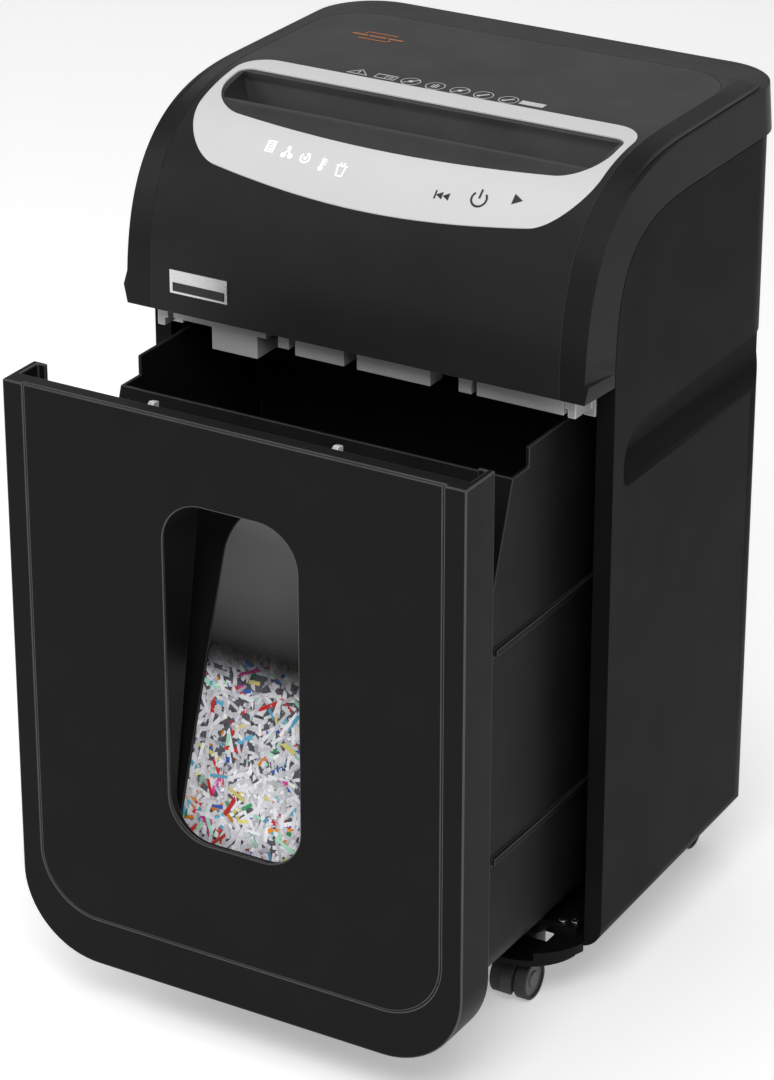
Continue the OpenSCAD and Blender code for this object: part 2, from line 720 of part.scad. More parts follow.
module base_tray()
    color(deep_black) difference() {
        union() {
            bar([-tray_half_w, side_front_y, tray_z], [tray_half_w, tray_back_y, tray_z + tray_t]);
            // Bosses of the casters, cut off flush with the cabinet's front
            intersection() {
                for (i = [0 : 3]) translate([caster_place(i)[0], caster_place(i)[1], tray_z - 6])
                    cylinder(7, 11, 11);
                bar([-face_w, side_front_y, 0], [face_w, rear_y, case_h]);
            }
            // Apron under the shut drawer, and the riser that joins it to the tray
            translate([0, 0, apron_low]) linear_extrude(apron_high - apron_low) {
                translate([-apron_half_w + apron_r, face_y + 1])
                    square([2 * (apron_half_w - apron_r), side_front_y - 2 - face_y]);
                for (side = [-1, 1]) intersection() {
                    translate([side * (apron_half_w - apron_r), face_y + 1 + apron_r]) circle(apron_r);
                    translate([-apron_half_w, face_y]) square([2 * apron_half_w, side_front_y - 2 - face_y]);
                }
            }
            bar([-104, side_front_y - 0.5, apron_low], [104, side_front_y + 3, tray_z + 1]);
            bar([-104, side_front_y - 3, apron_low], [104, side_front_y + 3, apron_high]);
            // Toes, whose outer front corners are round
            for (side = [-1, 1]) {
                translate([0, 0, toe_low]) linear_extrude(toe_high - toe_low) intersection() {
                    translate([side * (toe_in_x + toe_out_x) / 2, (toe_front_y + side_front_y) / 2])
                        square([toe_out_x - toe_in_x, side_front_y - toe_front_y - 0.4], center = true);
                    translate([side * (toe_out_x - 46), side_front_y + 10]) circle(46);
                }
                bar([side * (tray_half_w + toe_in_x) / 2 - 8, side_front_y - 1, toe_low],
                    [side * (tray_half_w + toe_in_x) / 2 + 8, side_front_y + 14, tray_z + 1]);
            }
        }
        for (i = [0 : 3]) translate([caster_place(i)[0], caster_place(i)[1], tray_z - 7])
            cylinder(tray_t + 8, 8, 8);
        for (place = screw_places) translate([place[0], place[1], tray_z - 1]) cylinder(tray_t + 2, 1.5, 1.5);
    }

module caster_sockets()
    color(steel) difference() {
        for (i = [0 : 3]) translate([caster_place(i)[0], caster_place(i)[1], tray_z - 6.8]) {
            cylinder(10, 7.95, 7.95);
            cylinder(0.8, 10, 10);
        }
        for (i = [0 : 3]) translate([caster_place(i)[0], caster_place(i)[1], tray_z - 8])
            cylinder(13, stem_r + 0.05, stem_r + 0.05);
        bar([-face_w, face_y, 0], [face_w, side_front_y, case_h]);
    }

screw_places = [for (side = [-1, 1]) for (at = [[146, 5], [154, 8]]) [side * at[0], side_front_y + at[1]]];

module base_screws()
    color("#d0d2d4") for (place = screw_places) screw([place[0], place[1], tray_z + tray_t]);

rail_x = 112;
module slide_rails()
    color(deep_black) for (side = [-1, 1])
        bar([side * rail_x - 5, side_front_y + 4, tray_z + tray_t],
            [side * rail_x + 5, tray_back_y - 2, bin_low - 2]);

module drawer_runners()
    color("#2c2c2c") for (side = [-1, 1])
        bar([side * rail_x - 4, bin_front_y + 26, bin_low - 1.7], [side * rail_x + 4, bin_back_y - bin_corner_r - 2, bin_low]);

// ---- Drawer ----

module drawer_outline(inset)
    upright(drawer_w / 2 - inset, drawer_low + inset, drawer_top, drawer_r - inset, 0);

module window_outline(grow = 0)
    upright(window_w / 2 + grow, window_low - grow, window_top + grow, window_r + grow, window_r + grow);

module facing_outline(shrink = 0)
    upright(drawer_w / 2 - facing_side - shrink, drawer_low + facing_low + shrink, drawer_top - shrink, facing_r, 0);

// The drawer's outline inside the rim, carried on above it
module rim_mouth(inset) {
    drawer_outline(inset);
    translate([-drawer_w / 2 + inset, drawer_top - 5]) square([drawer_w - 2 * inset, 10]);
}

module drawer_frame()
    color(black) difference() {
        along_y(front_y, front_y + rim_d) drawer_outline(0);
        // Room behind the front, under its top lip
        along_y(front_y + front_t, front_y + rim_d - 3) intersection() {
            drawer_outline(rim_t);
            translate([-drawer_w / 2, 0]) square([drawer_w, drawer_top - 3]);
        }
        along_y(front_y + lip_d, front_y + rim_d - 3) rim_mouth(rim_t);
        along_y(front_y + rim_d - 4, front_y + rim_d + 1) rim_mouth(rim_t + rim_return);
        along_y(front_y - 1, front_y + facing_t + 0.1) facing_outline();
        along_y(front_y - 1, front_y + front_t + 1) window_outline(3);
    }

module drawer_facing()
    color("#222222") along_y(front_y, front_y + facing_t) difference() {
        facing_outline(0.4);
        window_outline();
    }

// Front of the bin at a given height
function bin_face(z) = bin_front_y + max(0, z - bin_lean_z) * bin_lean;

// Black tunnel between the hole in the drawer front and the bin's window
module window_shroud()
    color(deep_black) difference() {
        along_y(front_y + front_t + 0.1, front_y + 100) difference() {
            window_outline(4.5);
            window_outline(2.5);
        }
        along_x(-window_w, window_w) polygon([
            [bin_front_y - 0.6, 100], [bin_front_y - 0.6, bin_lean_z],
            [bin_front_y + (window_top + 20 - bin_lean_z) * shroud_lean, window_top + 20],
            [front_y + 200, window_top + 20], [front_y + 200, 100]]);
    }

// The bin's side outline, moved inwards by inset
module bin_section(inset)
    difference() {
        polygon([
            [bin_front_y + inset, bin_low + inset], [bin_front_y + inset, bin_lean_z],
            [bin_face(bin_rim + 20 * min(1, inset)) + inset, bin_rim + 20 * min(1, inset)],
            [bin_back_y - inset, bin_rim + 20 * min(1, inset)], [bin_back_y - inset, bin_low + inset]]);
        translate([bin_back_y - bin_corner_r, bin_low - 1]) difference() {
            square([bin_corner_r + 1, bin_corner_r + 1]);
            translate([0, bin_corner_r + 1]) circle(bin_corner_r - inset);
        }
    }

module bin_form(inset)
    intersection() {
        along_x(-bin_half_w + inset, bin_half_w - inset) bin_section(inset);
        along_y(front_y, rear_y)
            upright(bin_half_w - inset, bin_low + inset, case_h, bin_corner_r - inset, 0);
    }

pane_low = window_low - 6;
pane_top = 374;
pane_half_w = 50;

module waste_bin()
    color("#202020") difference() {
        union() {
            bin_form(0);
            // Higher rims at the sides and the back
            bar([-bin_half_w, bin_step_y, bin_rim - 1], [bin_half_w, bin_back_y - bin_wall, bin_side_rim]);
            bar([-bin_half_w, bin_back_y - bin_wall - 0.01, bin_rim - 1], [bin_half_w, bin_back_y, bin_back_rim]);
            // Stiffening ribs round the sides
            for (z = [154, 308]) for (side = [-1, 1])
                bar([side * (bin_half_w + 1) - 1.2, bin_front_y + 70, z], [side * (bin_half_w + 1) + 1.2, bin_back_y, z + 5]);
        }
        bin_form(bin_wall);
        bar([-bin_half_w + 20, bin_step_y - 1, bin_rim], [bin_half_w - 20, bin_back_y - bin_wall, bin_side_rim + 1]);
        bar([-bin_half_w + bin_wall, bin_step_y + bin_wall, bin_rim - 2],
            [bin_half_w - bin_wall, bin_back_y - bin_wall, bin_side_rim + 1]);
        bar([-bin_half_w - 2, bin_back_y - bin_wall, bin_back_rim], [bin_half_w + 2, bin_back_y + 1, bin_side_rim + 1]);
        along_y(bin_front_y - 5, bin_front_y + 120) upright(pane_half_w, pane_low, pane_top, 20, 36);
    }

// Clear pane in the bin's leaning front
module window_pane()
    color([0.6, 0.65, 0.68, 0.3]) intersection() {
        along_y(bin_front_y - 5, bin_front_y + 120)
            upright(pane_half_w - 0.2, pane_low + 0.2, pane_top - 0.2, 20, 36);
        along_x(-pane_half_w, pane_half_w) polygon([
            [bin_front_y + 0.3, bin_low], [bin_front_y + 0.3, bin_lean_z], [bin_face(400) + 0.3, 400],
            [bin_face(400) + 2.3, 400], [bin_front_y + 2.3, bin_lean_z], [bin_front_y + 2.3, bin_low]]);
    }

// Hooks on the drawer front that enter the chassis when the drawer is shut
module latch_tabs()
    color(pale_grey) for (x = [-tab_x, tab_x]) along_x(x - 2.2, x + 2.2) polygon([
        [front_y + front_t, drawer_top - 30], [front_y + front_t, drawer_top - 3.2],
        [front_y + lip_d + 0.5, drawer_top - 3.2], [front_y + lip_d + 5, drawer_top - 0.3],
        [front_y + lip_d + 10, drawer_top - 1.5], [front_y + lip_d + 10, drawer_top - 10]]);

// Shredded paper: a layer behind the window and over the top of the heap
module shredded_paper()
    color("#e8e8ea") intersection() {
        side = bin_half_w - bin_wall - 1.5;
        back = bin_back_y - bin_wall - 2;
        front = bin_front_y + bin_wall + 1;
        along_y(front_y, rear_y) upright(side, bin_low + bin_wall + 0.5, case_h, bin_corner_r - 4, 0);
        along_x(-side, side) polygon([
            [front, bin_low], [front, bin_lean_z - 1],
            [front + bin_lean * (heap_top - bin_lean_z), heap_top], [back, heap_top + 6], [back, heap_top],
            [front + 6 + bin_lean * (heap_top - 6 - bin_lean_z), heap_top - 6], [front + 6, bin_lean_z - 1],
            [front + 6, bin_low]]);
    }

// ---- Casters ----

// Fork and stem of one caster, trailing along way
module caster_fork(i) {
    way = caster_way(i);
    color("#2a2a2a") translate([caster_place(i)[0], caster_place(i)[1], 0]) {
        translate([0, 0, 34]) cylinder(18, stem_r, stem_r);
        translate([0, 0, 33]) cylinder(8, 8, 8);
        difference() {
            union() {
                translate([0, 0, wheel_d / 2 + 4]) cylinder(37.5 - wheel_d / 2 - 4, 8, 8);
                bar([-fork_t / 2, min(0, way * caster_trail), wheel_d / 2 - 3],
                    [fork_t / 2, max(0, way * caster_trail), wheel_d / 2 + 12]);
                translate([0, way * caster_trail, wheel_d / 2]) rotate([0, 90, 0])
                    translate([0, 0, -fork_t / 2]) cylinder(fork_t, 9, 9);
            }
            translate([-fork_t, way * caster_trail, wheel_d / 2]) rotate([0, 90, 0])
                cylinder(2 * fork_t, axle_r + 0.05, axle_r + 0.05);
        }
    }
}

// The two wheels of one caster on their axle
module caster_wheels(i)
    color("#3a3a3a") translate([caster_place(i)[0], caster_place(i)[1] + caster_way(i) * caster_trail, wheel_d / 2])
        rotate([0, 90, 0]) {
            translate([0, 0, -fork_t / 2 - 3]) cylinder(fork_t + 6, axle_r, axle_r);
            for (side = [-1, 1]) translate([0, 0, side * (fork_t / 2 + 0.5 + wheel_t / 2) - wheel_t / 2])
                cylinder(wheel_t, wheel_d / 2, wheel_d / 2);
        }

hood_frame();
top_cover();
control_panel();
throat_insert();
status_lights();
control_board();
service_plate();
head_base();
side_clips();
cutter_plate(-1);  // cutter_plate_left
cutter_plate(1);  // cutter_plate_right
tie_rods();
stripper_comb(front_shaft_y, -1);  // stripper_comb_front
stripper_comb(rear_shaft_y, 1);  // stripper_comb_rear
shaft_bearings();
motor();
motor_bracket();
gear_cover();
power_board();
paper_sensor();
door_sensor();
side_panel_left();
side_panel_right();
rear_panel();
cord_gland();
base_tray();
base_screws();
slide_rails();
caster_sockets();
cutter_shaft(front_shaft_y, mesh_gear_x + mesh_gear_t + 1);  // cutter_shaft_front
cutter_discs(front_shaft_y, 0);  // cutter_discs_front
mesh_gear_front();
cutter_shaft(rear_shaft_y, drive_gear_x + drive_gear_t);  // cutter_shaft_rear
cutter_discs(rear_shaft_y, 0.5);  // cutter_discs_rear
mesh_gear_rear();
drive_gear();
idler_gear();
idler_axle();
motor_pinion();
drawer_frame();
drawer_facing();
window_shroud();
window_pane();
waste_bin();
drawer_runners();
latch_tabs();
shredded_paper();
for (i = [0 : 3]) {
    caster_fork(i);
    caster_wheels(i);
}
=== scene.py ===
import json
import math
import random
import bpy
from mathutils import Matrix, Vector


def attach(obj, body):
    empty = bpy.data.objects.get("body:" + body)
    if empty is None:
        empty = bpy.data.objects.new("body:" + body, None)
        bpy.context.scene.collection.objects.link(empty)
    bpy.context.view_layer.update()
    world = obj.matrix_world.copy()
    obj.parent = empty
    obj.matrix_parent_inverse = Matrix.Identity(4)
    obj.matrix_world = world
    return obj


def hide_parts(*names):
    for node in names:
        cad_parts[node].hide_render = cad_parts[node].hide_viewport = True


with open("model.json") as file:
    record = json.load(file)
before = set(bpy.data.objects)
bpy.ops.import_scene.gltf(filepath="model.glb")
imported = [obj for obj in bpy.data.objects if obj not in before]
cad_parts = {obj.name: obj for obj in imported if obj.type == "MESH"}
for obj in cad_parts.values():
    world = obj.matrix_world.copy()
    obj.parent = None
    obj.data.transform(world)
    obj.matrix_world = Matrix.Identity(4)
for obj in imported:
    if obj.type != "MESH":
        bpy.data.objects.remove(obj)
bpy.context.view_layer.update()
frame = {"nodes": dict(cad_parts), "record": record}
nodes = frame["nodes"]
scene = bpy.context.scene
scene.view_settings.view_transform = "Standard"
random.seed(11)

# Places shared by several pieces, in metres
case = {
    "faceY": -0.073,
    "frontY": -0.221,
    "curveY": 0.076,
    "headLow": 0.463,
    "top": 0.606,
    "curvePower": 2.8,
    "coverHalfWidth": 0.157,
    "coverBackY": 0.179,
    "hoodHalfWidth": 0.175,
    "hoodBackY": 0.221,
}
curveRun = case["curveY"] - case["faceY"]
curveRise = case["top"] - case["headLow"]


class Wire:
    def __init__(self, finish, socket):
        self.finish = finish
        self.socket = socket

    def maths(self, operation, first, second):
        return self.finish.node("Math", {"operation": operation}, {0: first, 1: second})

    def __add__(self, other):
        return self.maths("ADD", self, other)

    def __radd__(self, other):
        return self.maths("ADD", other, self)

    def __sub__(self, other):
        return self.maths("SUBTRACT", self, other)

    def __rsub__(self, other):
        return self.maths("SUBTRACT", other, self)

    def __mul__(self, other):
        return self.maths("MULTIPLY", self, other)

    def __rmul__(self, other):
        return self.maths("MULTIPLY", other, self)


class Finish:
    def __init__(self, name):
        self.material = bpy.data.materials.new(name)
        self.material.use_nodes = True
        self.tree = self.material.node_tree
        self.tree.nodes.clear()

    def node(self, kind, settings=None, inputs=None, output=0):
        item = self.tree.nodes.new("ShaderNode" + kind)
        for key, value in (settings or {}).items():
            if key == "stops":
                while len(item.color_ramp.elements) < len(value):
                    item.color_ramp.elements.new(0.5)
                for element, (place, colour) in zip(item.color_ramp.elements, value):
                    element.position = place
                    element.color = colour
            else:
                setattr(item, key, value)
        for key, value in (inputs or {}).items():
            if isinstance(value, Wire):
                self.tree.links.new(value.socket, item.inputs[key])
            else:
                item.inputs[key].default_value = value
        return Wire(self, item.outputs[output])

    def place(self):
        return self.node("TexCoord", output="Object")

    def noise(self, scale, detail=3.0, stretch=(1, 1, 1)):
        where = self.node("Mapping", {}, {"Vector": self.place(), "Scale": stretch})
        return self.node("TexNoise", {}, {"Vector": where, "Scale": scale, "Detail": detail})

    def span(self, value, low, high, toLow=0.0, toHigh=1.0):
        return self.node("MapRange", {}, {"Value": value, "From Min": low, "From Max": high,
                                          "To Min": toLow, "To Max": toHigh})

    def blend(self, amount, first, second):
        return self.node("Mix", {"data_type": "RGBA"}, {0: amount, 6: first, 7: second}, 2)

    def axis(self, letter):
        return self.node("SeparateXYZ", {}, {0: self.place()}, letter)

    def bump(self, height, strength, distance=0.0002):
        return self.node("Bump", {}, {"Height": height, "Strength": strength, "Distance": distance})

    def done(self, inputs):
        shader = self.node("BsdfPrincipled", {}, inputs)
        output = self.tree.nodes.new("ShaderNodeOutputMaterial")
        self.tree.links.new(shader.socket, output.inputs["Surface"])
        return self.material


def grey(value):
    return (value, value, value * 1.02, 1)


def mouldedPlastic(name, dark, light, roughness, grain, grainScale, gloss=0.35):
    # Slightly cloudy colour, a fine spark-eroded grain and a sheen that varies a little
    finish = Finish(name)
    cloud = finish.noise(26, 4)
    speck = finish.noise(grainScale, 2)
    return finish.done({
        "Base Color": finish.blend(finish.span(cloud, 0.35, 0.65), dark, light),
        "Roughness": finish.span(cloud + (speck - 0.5) * 0.3, 0.3, 0.7, roughness - 0.035, roughness + 0.035),
        "Specular IOR Level": gloss,
        "Normal": finish.bump(speck, grain),
    })


def metal(name, dark, light, roughness, stretch=(1, 1, 40), scale=60, metallic=1.0):
    # Fine lines drawn along one axis
    finish = Finish(name)
    lines = finish.noise(scale, 5, stretch)
    return finish.done({
        "Base Color": finish.blend(finish.span(lines, 0.3, 0.7), dark, light),
        "Roughness": finish.span(lines, 0.3, 0.7, roughness - 0.06, roughness + 0.08),
        "Metallic": metallic,
        "Normal": finish.bump(lines, 0.08, 0.0001),
    })


def makeBoard():
    # Solder mask with copper traces under it
    finish = Finish("boardMask")
    lines = finish.node("TexWave", {"wave_type": "BANDS", "bands_direction": "X"},
                        {"Vector": finish.place(), "Scale": 90, "Distortion": 9, "Detail": 2})
    trace = finish.span(lines, 0.55, 0.65)
    return finish.done({
        "Base Color": finish.blend(trace, (0.012, 0.09, 0.035, 1), (0.03, 0.19, 0.07, 1)),
        "Roughness": 0.4,
        "Normal": finish.bump(trace, 0.2, 0.0001),
    })


# Heights at which the pane turns into an opaque sheet of painted shade, and at which its painted reflection lightens
pane = {"clearBelow": 0.258, "paintedSheetFrom": 0.286, "paintedShadeBelow": 0.280, "paintedReflectionFrom": 0.372}


def makePane():
    # Clear plastic that turns into an opaque sheet above the shreds, dark low down as painted shade and lighter
    # towards its upper end as a painted reflection, with a few dust specks
    finish = Finish("paneClear")
    height = finish.axis("Z")
    dustAndReflectionNoise = finish.noise(160, 5)
    # Painted reflection: the sheet's colour goes from dark to grey with height
    paintedReflectionRise = finish.span(height + (dustAndReflectionNoise - 0.5) * 0.003, pane["paintedShadeBelow"], pane["paintedReflectionFrom"])
    # The sheet turns opaque above the shreds, painting shade over their top
    shade = finish.span(height + (dustAndReflectionNoise - 0.5) * 0.010, pane["clearBelow"], pane["paintedSheetFrom"])
    return finish.done({
        "Base Color": finish.blend(paintedReflectionRise, (0.020, 0.020, 0.020, 1), (0.27, 0.27, 0.275, 1)),
        "Roughness": 0.24,
        "Alpha": 0.015 + shade * 0.93 + finish.span(dustAndReflectionNoise, 0.62, 0.8) * 0.015,
        "Specular IOR Level": 0.1,
    })


def makePaper(name, fromTint):
    finish = Finish(name)
    fibre = finish.noise(700, 4)
    printing = finish.span(finish.noise(260, 2), 0.58, 0.6)
    if fromTint:
        tint = finish.node("Attribute", {"attribute_name": "tint"}, output="Color")
        colour = finish.blend(printing * 0.18, tint, (0.22, 0.22, 0.25, 1))
    else:
        # The heap is painted near black: painted shade in the gaps between the strips
        colour = finish.blend(printing, (0.10, 0.10, 0.12, 1), (0.06, 0.06, 0.075, 1))
    return finish.done({
        "Base Color": colour,
        "Roughness": 0.78,
        "Specular IOR Level": 0.2,
        "Normal": finish.bump(fibre, 0.25, 0.0001),
    })


def printed(name, colour, paintedGlow=0.0):
    # Ink, a little uneven; a glow, where given, is painted light
    finish = Finish(name)
    patch = finish.noise(420, 3)
    darker = tuple(c * 0.86 for c in colour[:3]) + (1,)
    return finish.done({
        "Base Color": finish.blend(finish.span(patch, 0.35, 0.65), darker, colour),
        "Roughness": 0.45,
        "Emission Color": colour,
        "Emission Strength": paintedGlow,
    })


finishes = {
    "coverBlack": mouldedPlastic("coverBlack", grey(0.0170), grey(0.0185), 0.38, 0.08, 1900, 0.12),
    "blackCase": mouldedPlastic("blackCase", grey(0.0115), grey(0.0130), 0.38, 0.08, 1900, 0.10),
    # A darker, less glossy copy of the case plastic for the side panels: painted shade on the sides
    "sideBlackShaded": mouldedPlastic("sideBlackShaded", grey(0.0075), grey(0.0085), 0.44, 0.10, 1700, 0.03),
    "drawerBlack": mouldedPlastic("drawerBlack", grey(0.0085), grey(0.0095), 0.40, 0.08, 1900, 0.05),
    # The edge finishes are lighter, glossier copies of their plastics that go on the bevels: painted highlights along
    # the edges
    "caseEdgeHighlight": mouldedPlastic("caseEdgeHighlight", grey(0.095), grey(0.115), 0.32, 0.05, 1900, 0.5),
    "drawerEdgeHighlight": mouldedPlastic("drawerEdgeHighlight", grey(0.048), grey(0.058), 0.34, 0.05, 1900, 0.3),
    "silverPanel": mouldedPlastic("silverPanel", (0.612, 0.612, 0.617, 1),
                                  (0.622, 0.622, 0.627, 1), 0.38, 0.05, 2400, 0.4),
    "panelEdgeHighlight": mouldedPlastic("panelEdgeHighlight", grey(0.86), grey(0.90), 0.25, 0.03, 2400, 0.5),
    "blackTrim": mouldedPlastic("blackTrim", grey(0.012), grey(0.020), 0.50, 0.75, 950, 0.5),
    "trimEdgeHighlight": mouldedPlastic("trimEdgeHighlight", grey(0.060), grey(0.075), 0.36, 0.10, 950, 0.5),
    "shroudBlack": mouldedPlastic("shroudBlack", grey(0.005), grey(0.007), 0.42, 0.15, 1200, 0.15),
    "binPlastic": mouldedPlastic("binPlastic", grey(0.0055), grey(0.0070), 0.46, 0.2, 1300, 0.08),
    "binEdgeHighlight": mouldedPlastic("binEdgeHighlight", grey(0.018), grey(0.024), 0.42, 0.1, 1300, 0.4),
    "greyPlastic": mouldedPlastic("greyPlastic", grey(0.42), grey(0.46), 0.46, 0.2, 1500, 0.4),
    "greyEdgeHighlight": mouldedPlastic("greyEdgeHighlight", grey(0.62), grey(0.66), 0.4, 0.1, 1500, 0.5),
    "casterPlastic": mouldedPlastic("casterPlastic", grey(0.022), grey(0.030), 0.42, 0.3, 1400, 0.5),
    "wheelPlastic": mouldedPlastic("wheelPlastic", grey(0.060), grey(0.075), 0.45, 0.3, 1100, 0.5),
    "wheelRubber": mouldedPlastic("wheelRubber", grey(0.030), grey(0.042), 0.72, 0.6, 800, 0.3),
    "gearNylon": mouldedPlastic("gearNylon", (0.66, 0.62, 0.5, 1), (0.74, 0.71, 0.6, 1), 0.45, 0.2, 900),
    "lampWhite": mouldedPlastic("lampWhite", grey(0.8), grey(0.85), 0.4, 0.1, 900),
    "motorPaint": mouldedPlastic("motorPaint", (0.035, 0.036, 0.04, 1), (0.05, 0.052, 0.058, 1), 0.35, 0.3, 700, 0.5),
    "darkSteel": metal("darkSteel", (0.020, 0.020, 0.021, 1), (0.034, 0.034, 0.036, 1), 0.48),
    "steel": metal("steel", (0.42, 0.43, 0.44, 1), (0.60, 0.61, 0.62, 1), 0.32),
    "brightSteel": metal("brightSteel", (0.66, 0.66, 0.67, 1), (0.80, 0.80, 0.81, 1), 0.22, (1, 1, 1), 300),
    "cutterSteel": metal("cutterSteel", (0.22, 0.23, 0.25, 1), (0.38, 0.39, 0.41, 1), 0.34, (30, 1, 1), 50),
    "bronze": metal("bronze", (0.48, 0.33, 0.16, 1), (0.64, 0.46, 0.25, 1), 0.36, (40, 1, 1), 50),
    "plateMetal": metal("plateMetal", (0.55, 0.55, 0.56, 1), (0.70, 0.70, 0.71, 1), 0.3, (1, 1, 30), 70),
    "board": makeBoard(),
    "pane": makePane(),
    "paperStrips": makePaper("paperStrips", True),
    "paperHeapShaded": makePaper("paperHeapShaded", False),
    # The white signs glow a little: painted light on ink that is no lamp
    "whiteInkPaintedGlow": printed("whiteInkPaintedGlow", (0.95, 0.95, 0.96, 1), 0.35),
    "blackInk": printed("blackInk", (0.012, 0.012, 0.013, 1)),
    "lineInk": printed("lineInk", (0.60, 0.60, 0.61, 1)),
    "orangeInk": printed("orangeInk", (0.42, 0.12, 0.03, 1)),
    "stripInk": printed("stripInk", (0.010, 0.010, 0.011, 1)),
}
print("materials:", len(finishes))

# CAD nodes that keep their mesh, by finish
nodeFinishes = {
    "lampWhite": ["status_lights"],
    "board": ["control_board", "power_board"],
    "steel": ["cutter_plate_left", "cutter_plate_right", "tie_rods", "cutter_shaft_front", "cutter_shaft_rear",
              "mesh_gear_front", "mesh_gear_rear", "motor_bracket", "idler_axle"],
    "darkSteel": ["caster_sockets"],
    "cutterSteel": ["cutter_discs_front", "cutter_discs_rear", "drive_gear"],
    "bronze": ["shaft_bearings", "motor_pinion"],
    "motorPaint": ["motor"],
    "gearNylon": ["idler_gear"],
    "blackTrim": ["stripper_comb_front", "stripper_comb_rear", "gear_cover", "paper_sensor", "door_sensor"],
    "binPlastic": ["drawer_runners", "slide_rails"],
    "pane": ["window_pane"],
    "paperHeapShaded": ["shredded_paper"],
}
for finishName, members in nodeFinishes.items():
    for member in members:
        for holder in nodes[member].material_slots:
            holder.material = finishes[finishName]


def deselect():
    if bpy.context.object and bpy.context.object.mode != "OBJECT":
        bpy.ops.object.mode_set(mode="OBJECT")
    bpy.ops.object.select_all(action="DESELECT")


def pick(*pieces):
    deselect()
    for piece in pieces:
        piece.select_set(True)
    bpy.context.view_layer.objects.active = pieces[0]


def applyAll(piece):
    pick(piece)
    for modifier in list(piece.modifiers):
        bpy.ops.object.modifier_apply(modifier=modifier.name)


def settle(piece):
    # Puts the object at the origin, with its place in its mesh
    pick(piece)
    bpy.ops.object.transform_apply(location=True, rotation=True, scale=True)
    return piece


def selectFaces(piece, test):
    bpy.ops.object.mode_set(mode="OBJECT")
    for face in piece.data.polygons:
        face.select = test(face)
    for edge in piece.data.edges:
        edge.select = False
    for vertex in piece.data.vertices:
        vertex.select = False
    for face in piece.data.polygons:
        if face.select:
            for index in face.vertices:
                piece.data.vertices[index].select = True
    bpy.ops.object.mode_set(mode="EDIT")
    bpy.ops.mesh.select_mode(type="FACE")


def soften(piece, width, edge=None, segments=2, angle=32, smooth=35):
    # Rounds the sharp edges, which take the lighter edge finish where there is one: a painted highlight along each
    # edge
    if edge:
        piece.data.materials.append(finishes[edge])
    bevel = piece.modifiers.new("edges", "BEVEL")
    bevel.width = width
    bevel.segments = segments
    bevel.limit_method = "ANGLE"
    bevel.angle_limit = math.radians(angle)
    bevel.use_clamp_overlap = True
    if edge:
        bevel.material = len(piece.data.materials) - 1
    pick(piece)
    bpy.ops.object.modifier_apply(modifier="edges")
    bpy.ops.object.shade_smooth_by_angle(angle=math.radians(smooth))
    even = piece.modifiers.new("even", "WEIGHTED_NORMAL")
    even.keep_sharp = True
    bpy.ops.object.modifier_apply(modifier="even")


def own(piece, body, slotName, *stoodFor):
    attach(piece, body)
    if stoodFor:
        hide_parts(*stoodFor)
    return piece


def copyNode(node, name):
    # A merged copy of a CAD node's mesh, without the lines across its flat faces
    source = nodes[node]
    piece = bpy.data.objects.new(name, source.data.copy())
    scene.collection.objects.link(piece)
    pick(piece)
    bpy.ops.object.mode_set(mode="EDIT")
    bpy.ops.mesh.select_all(action="SELECT")
    bpy.ops.mesh.customdata_custom_splitnormals_clear()
    bpy.ops.mesh.remove_doubles(threshold=0.00001)
    bpy.ops.mesh.dissolve_limited(angle_limit=math.radians(0.4))
    bpy.ops.object.mode_set(mode="OBJECT")
    return piece


bodyOf = {member: body for body, members in frame["record"]["behaviour"]["bodies"].items() for member in members}
slotOf = {part["node"]: part["material_slot"] for part in frame["record"]["subparts"]}


def finishNode(node, finish, edge, width, **options):
    piece = copyNode(node, node + "_form")
    piece.data.materials.clear()
    piece.data.materials.append(finishes[finish])
    soften(piece, width, edge, **options)
    own(piece, bodyOf[node], slotOf[node], node)
    return piece


def headHeight(y):
    if y >= case["curveY"]:
        return case["top"]
    reach = min(1.0, (case["curveY"] - y) / curveRun)
    return case["headLow"] + curveRise * (1 - reach ** case["curvePower"]) ** (1 / case["curvePower"])


def headNormal(y, z):
    if y >= case["curveY"]:
        return Vector((0, 0, 1))
    power = case["curvePower"] - 1
    back = ((case["curveY"] - y) / curveRun) ** power / curveRun
    up = max(0.0, (z - case["headLow"]) / curveRise) ** power / curveRise
    return Vector((0, -back, up)).normalized()


# Points along the head's curve, with their distance from its lower edge
curvePoints = []
walked = 0.0
for step in range(2401):
    turn = math.radians(90 * step / 2400)
    pointY = case["curveY"] - curveRun * math.cos(turn) ** (2 / case["curvePower"])
    pointZ = case["headLow"] + curveRise * math.sin(turn) ** (2 / case["curvePower"])
    if curvePoints:
        walked += math.hypot(pointY - curvePoints[-1][1], pointZ - curvePoints[-1][2])
    curvePoints.append((walked, pointY, pointZ))


def walkTo(y):
    if y >= case["curveY"]:
        return walked + y - case["curveY"]
    return next(distance for distance, pointY, pointZ in curvePoints if pointY >= y)


def onHead(distance):
    if distance >= walked:
        return Vector((0, case["curveY"] + distance - walked, case["top"]))
    low, high = 0, len(curvePoints) - 1
    while high - low > 1:
        middle = (low + high) // 2
        low, high = (middle, high) if curvePoints[middle][0] < distance else (low, middle)
    return Vector((0, curvePoints[low][1], curvePoints[low][2]))


hood = {
    "edgeWidth": 0.0009,
    "crownDrop": 0.0046,      # how far the outer edge lies under the cover's level
    "crownStart": 0.478,
    "flare": 0.0028,
    "fanCuts": 18,
    "crossCuts": (0.096, 0.116, 0.136, 0.156, 0.176),
    "cornerX": 0.130,         # middle of the rounded back corner
    "cornerY": 0.176,
    "cornerRadius": 0.045,
    "near": 0.0002,           # how close counts as lying on a face
}


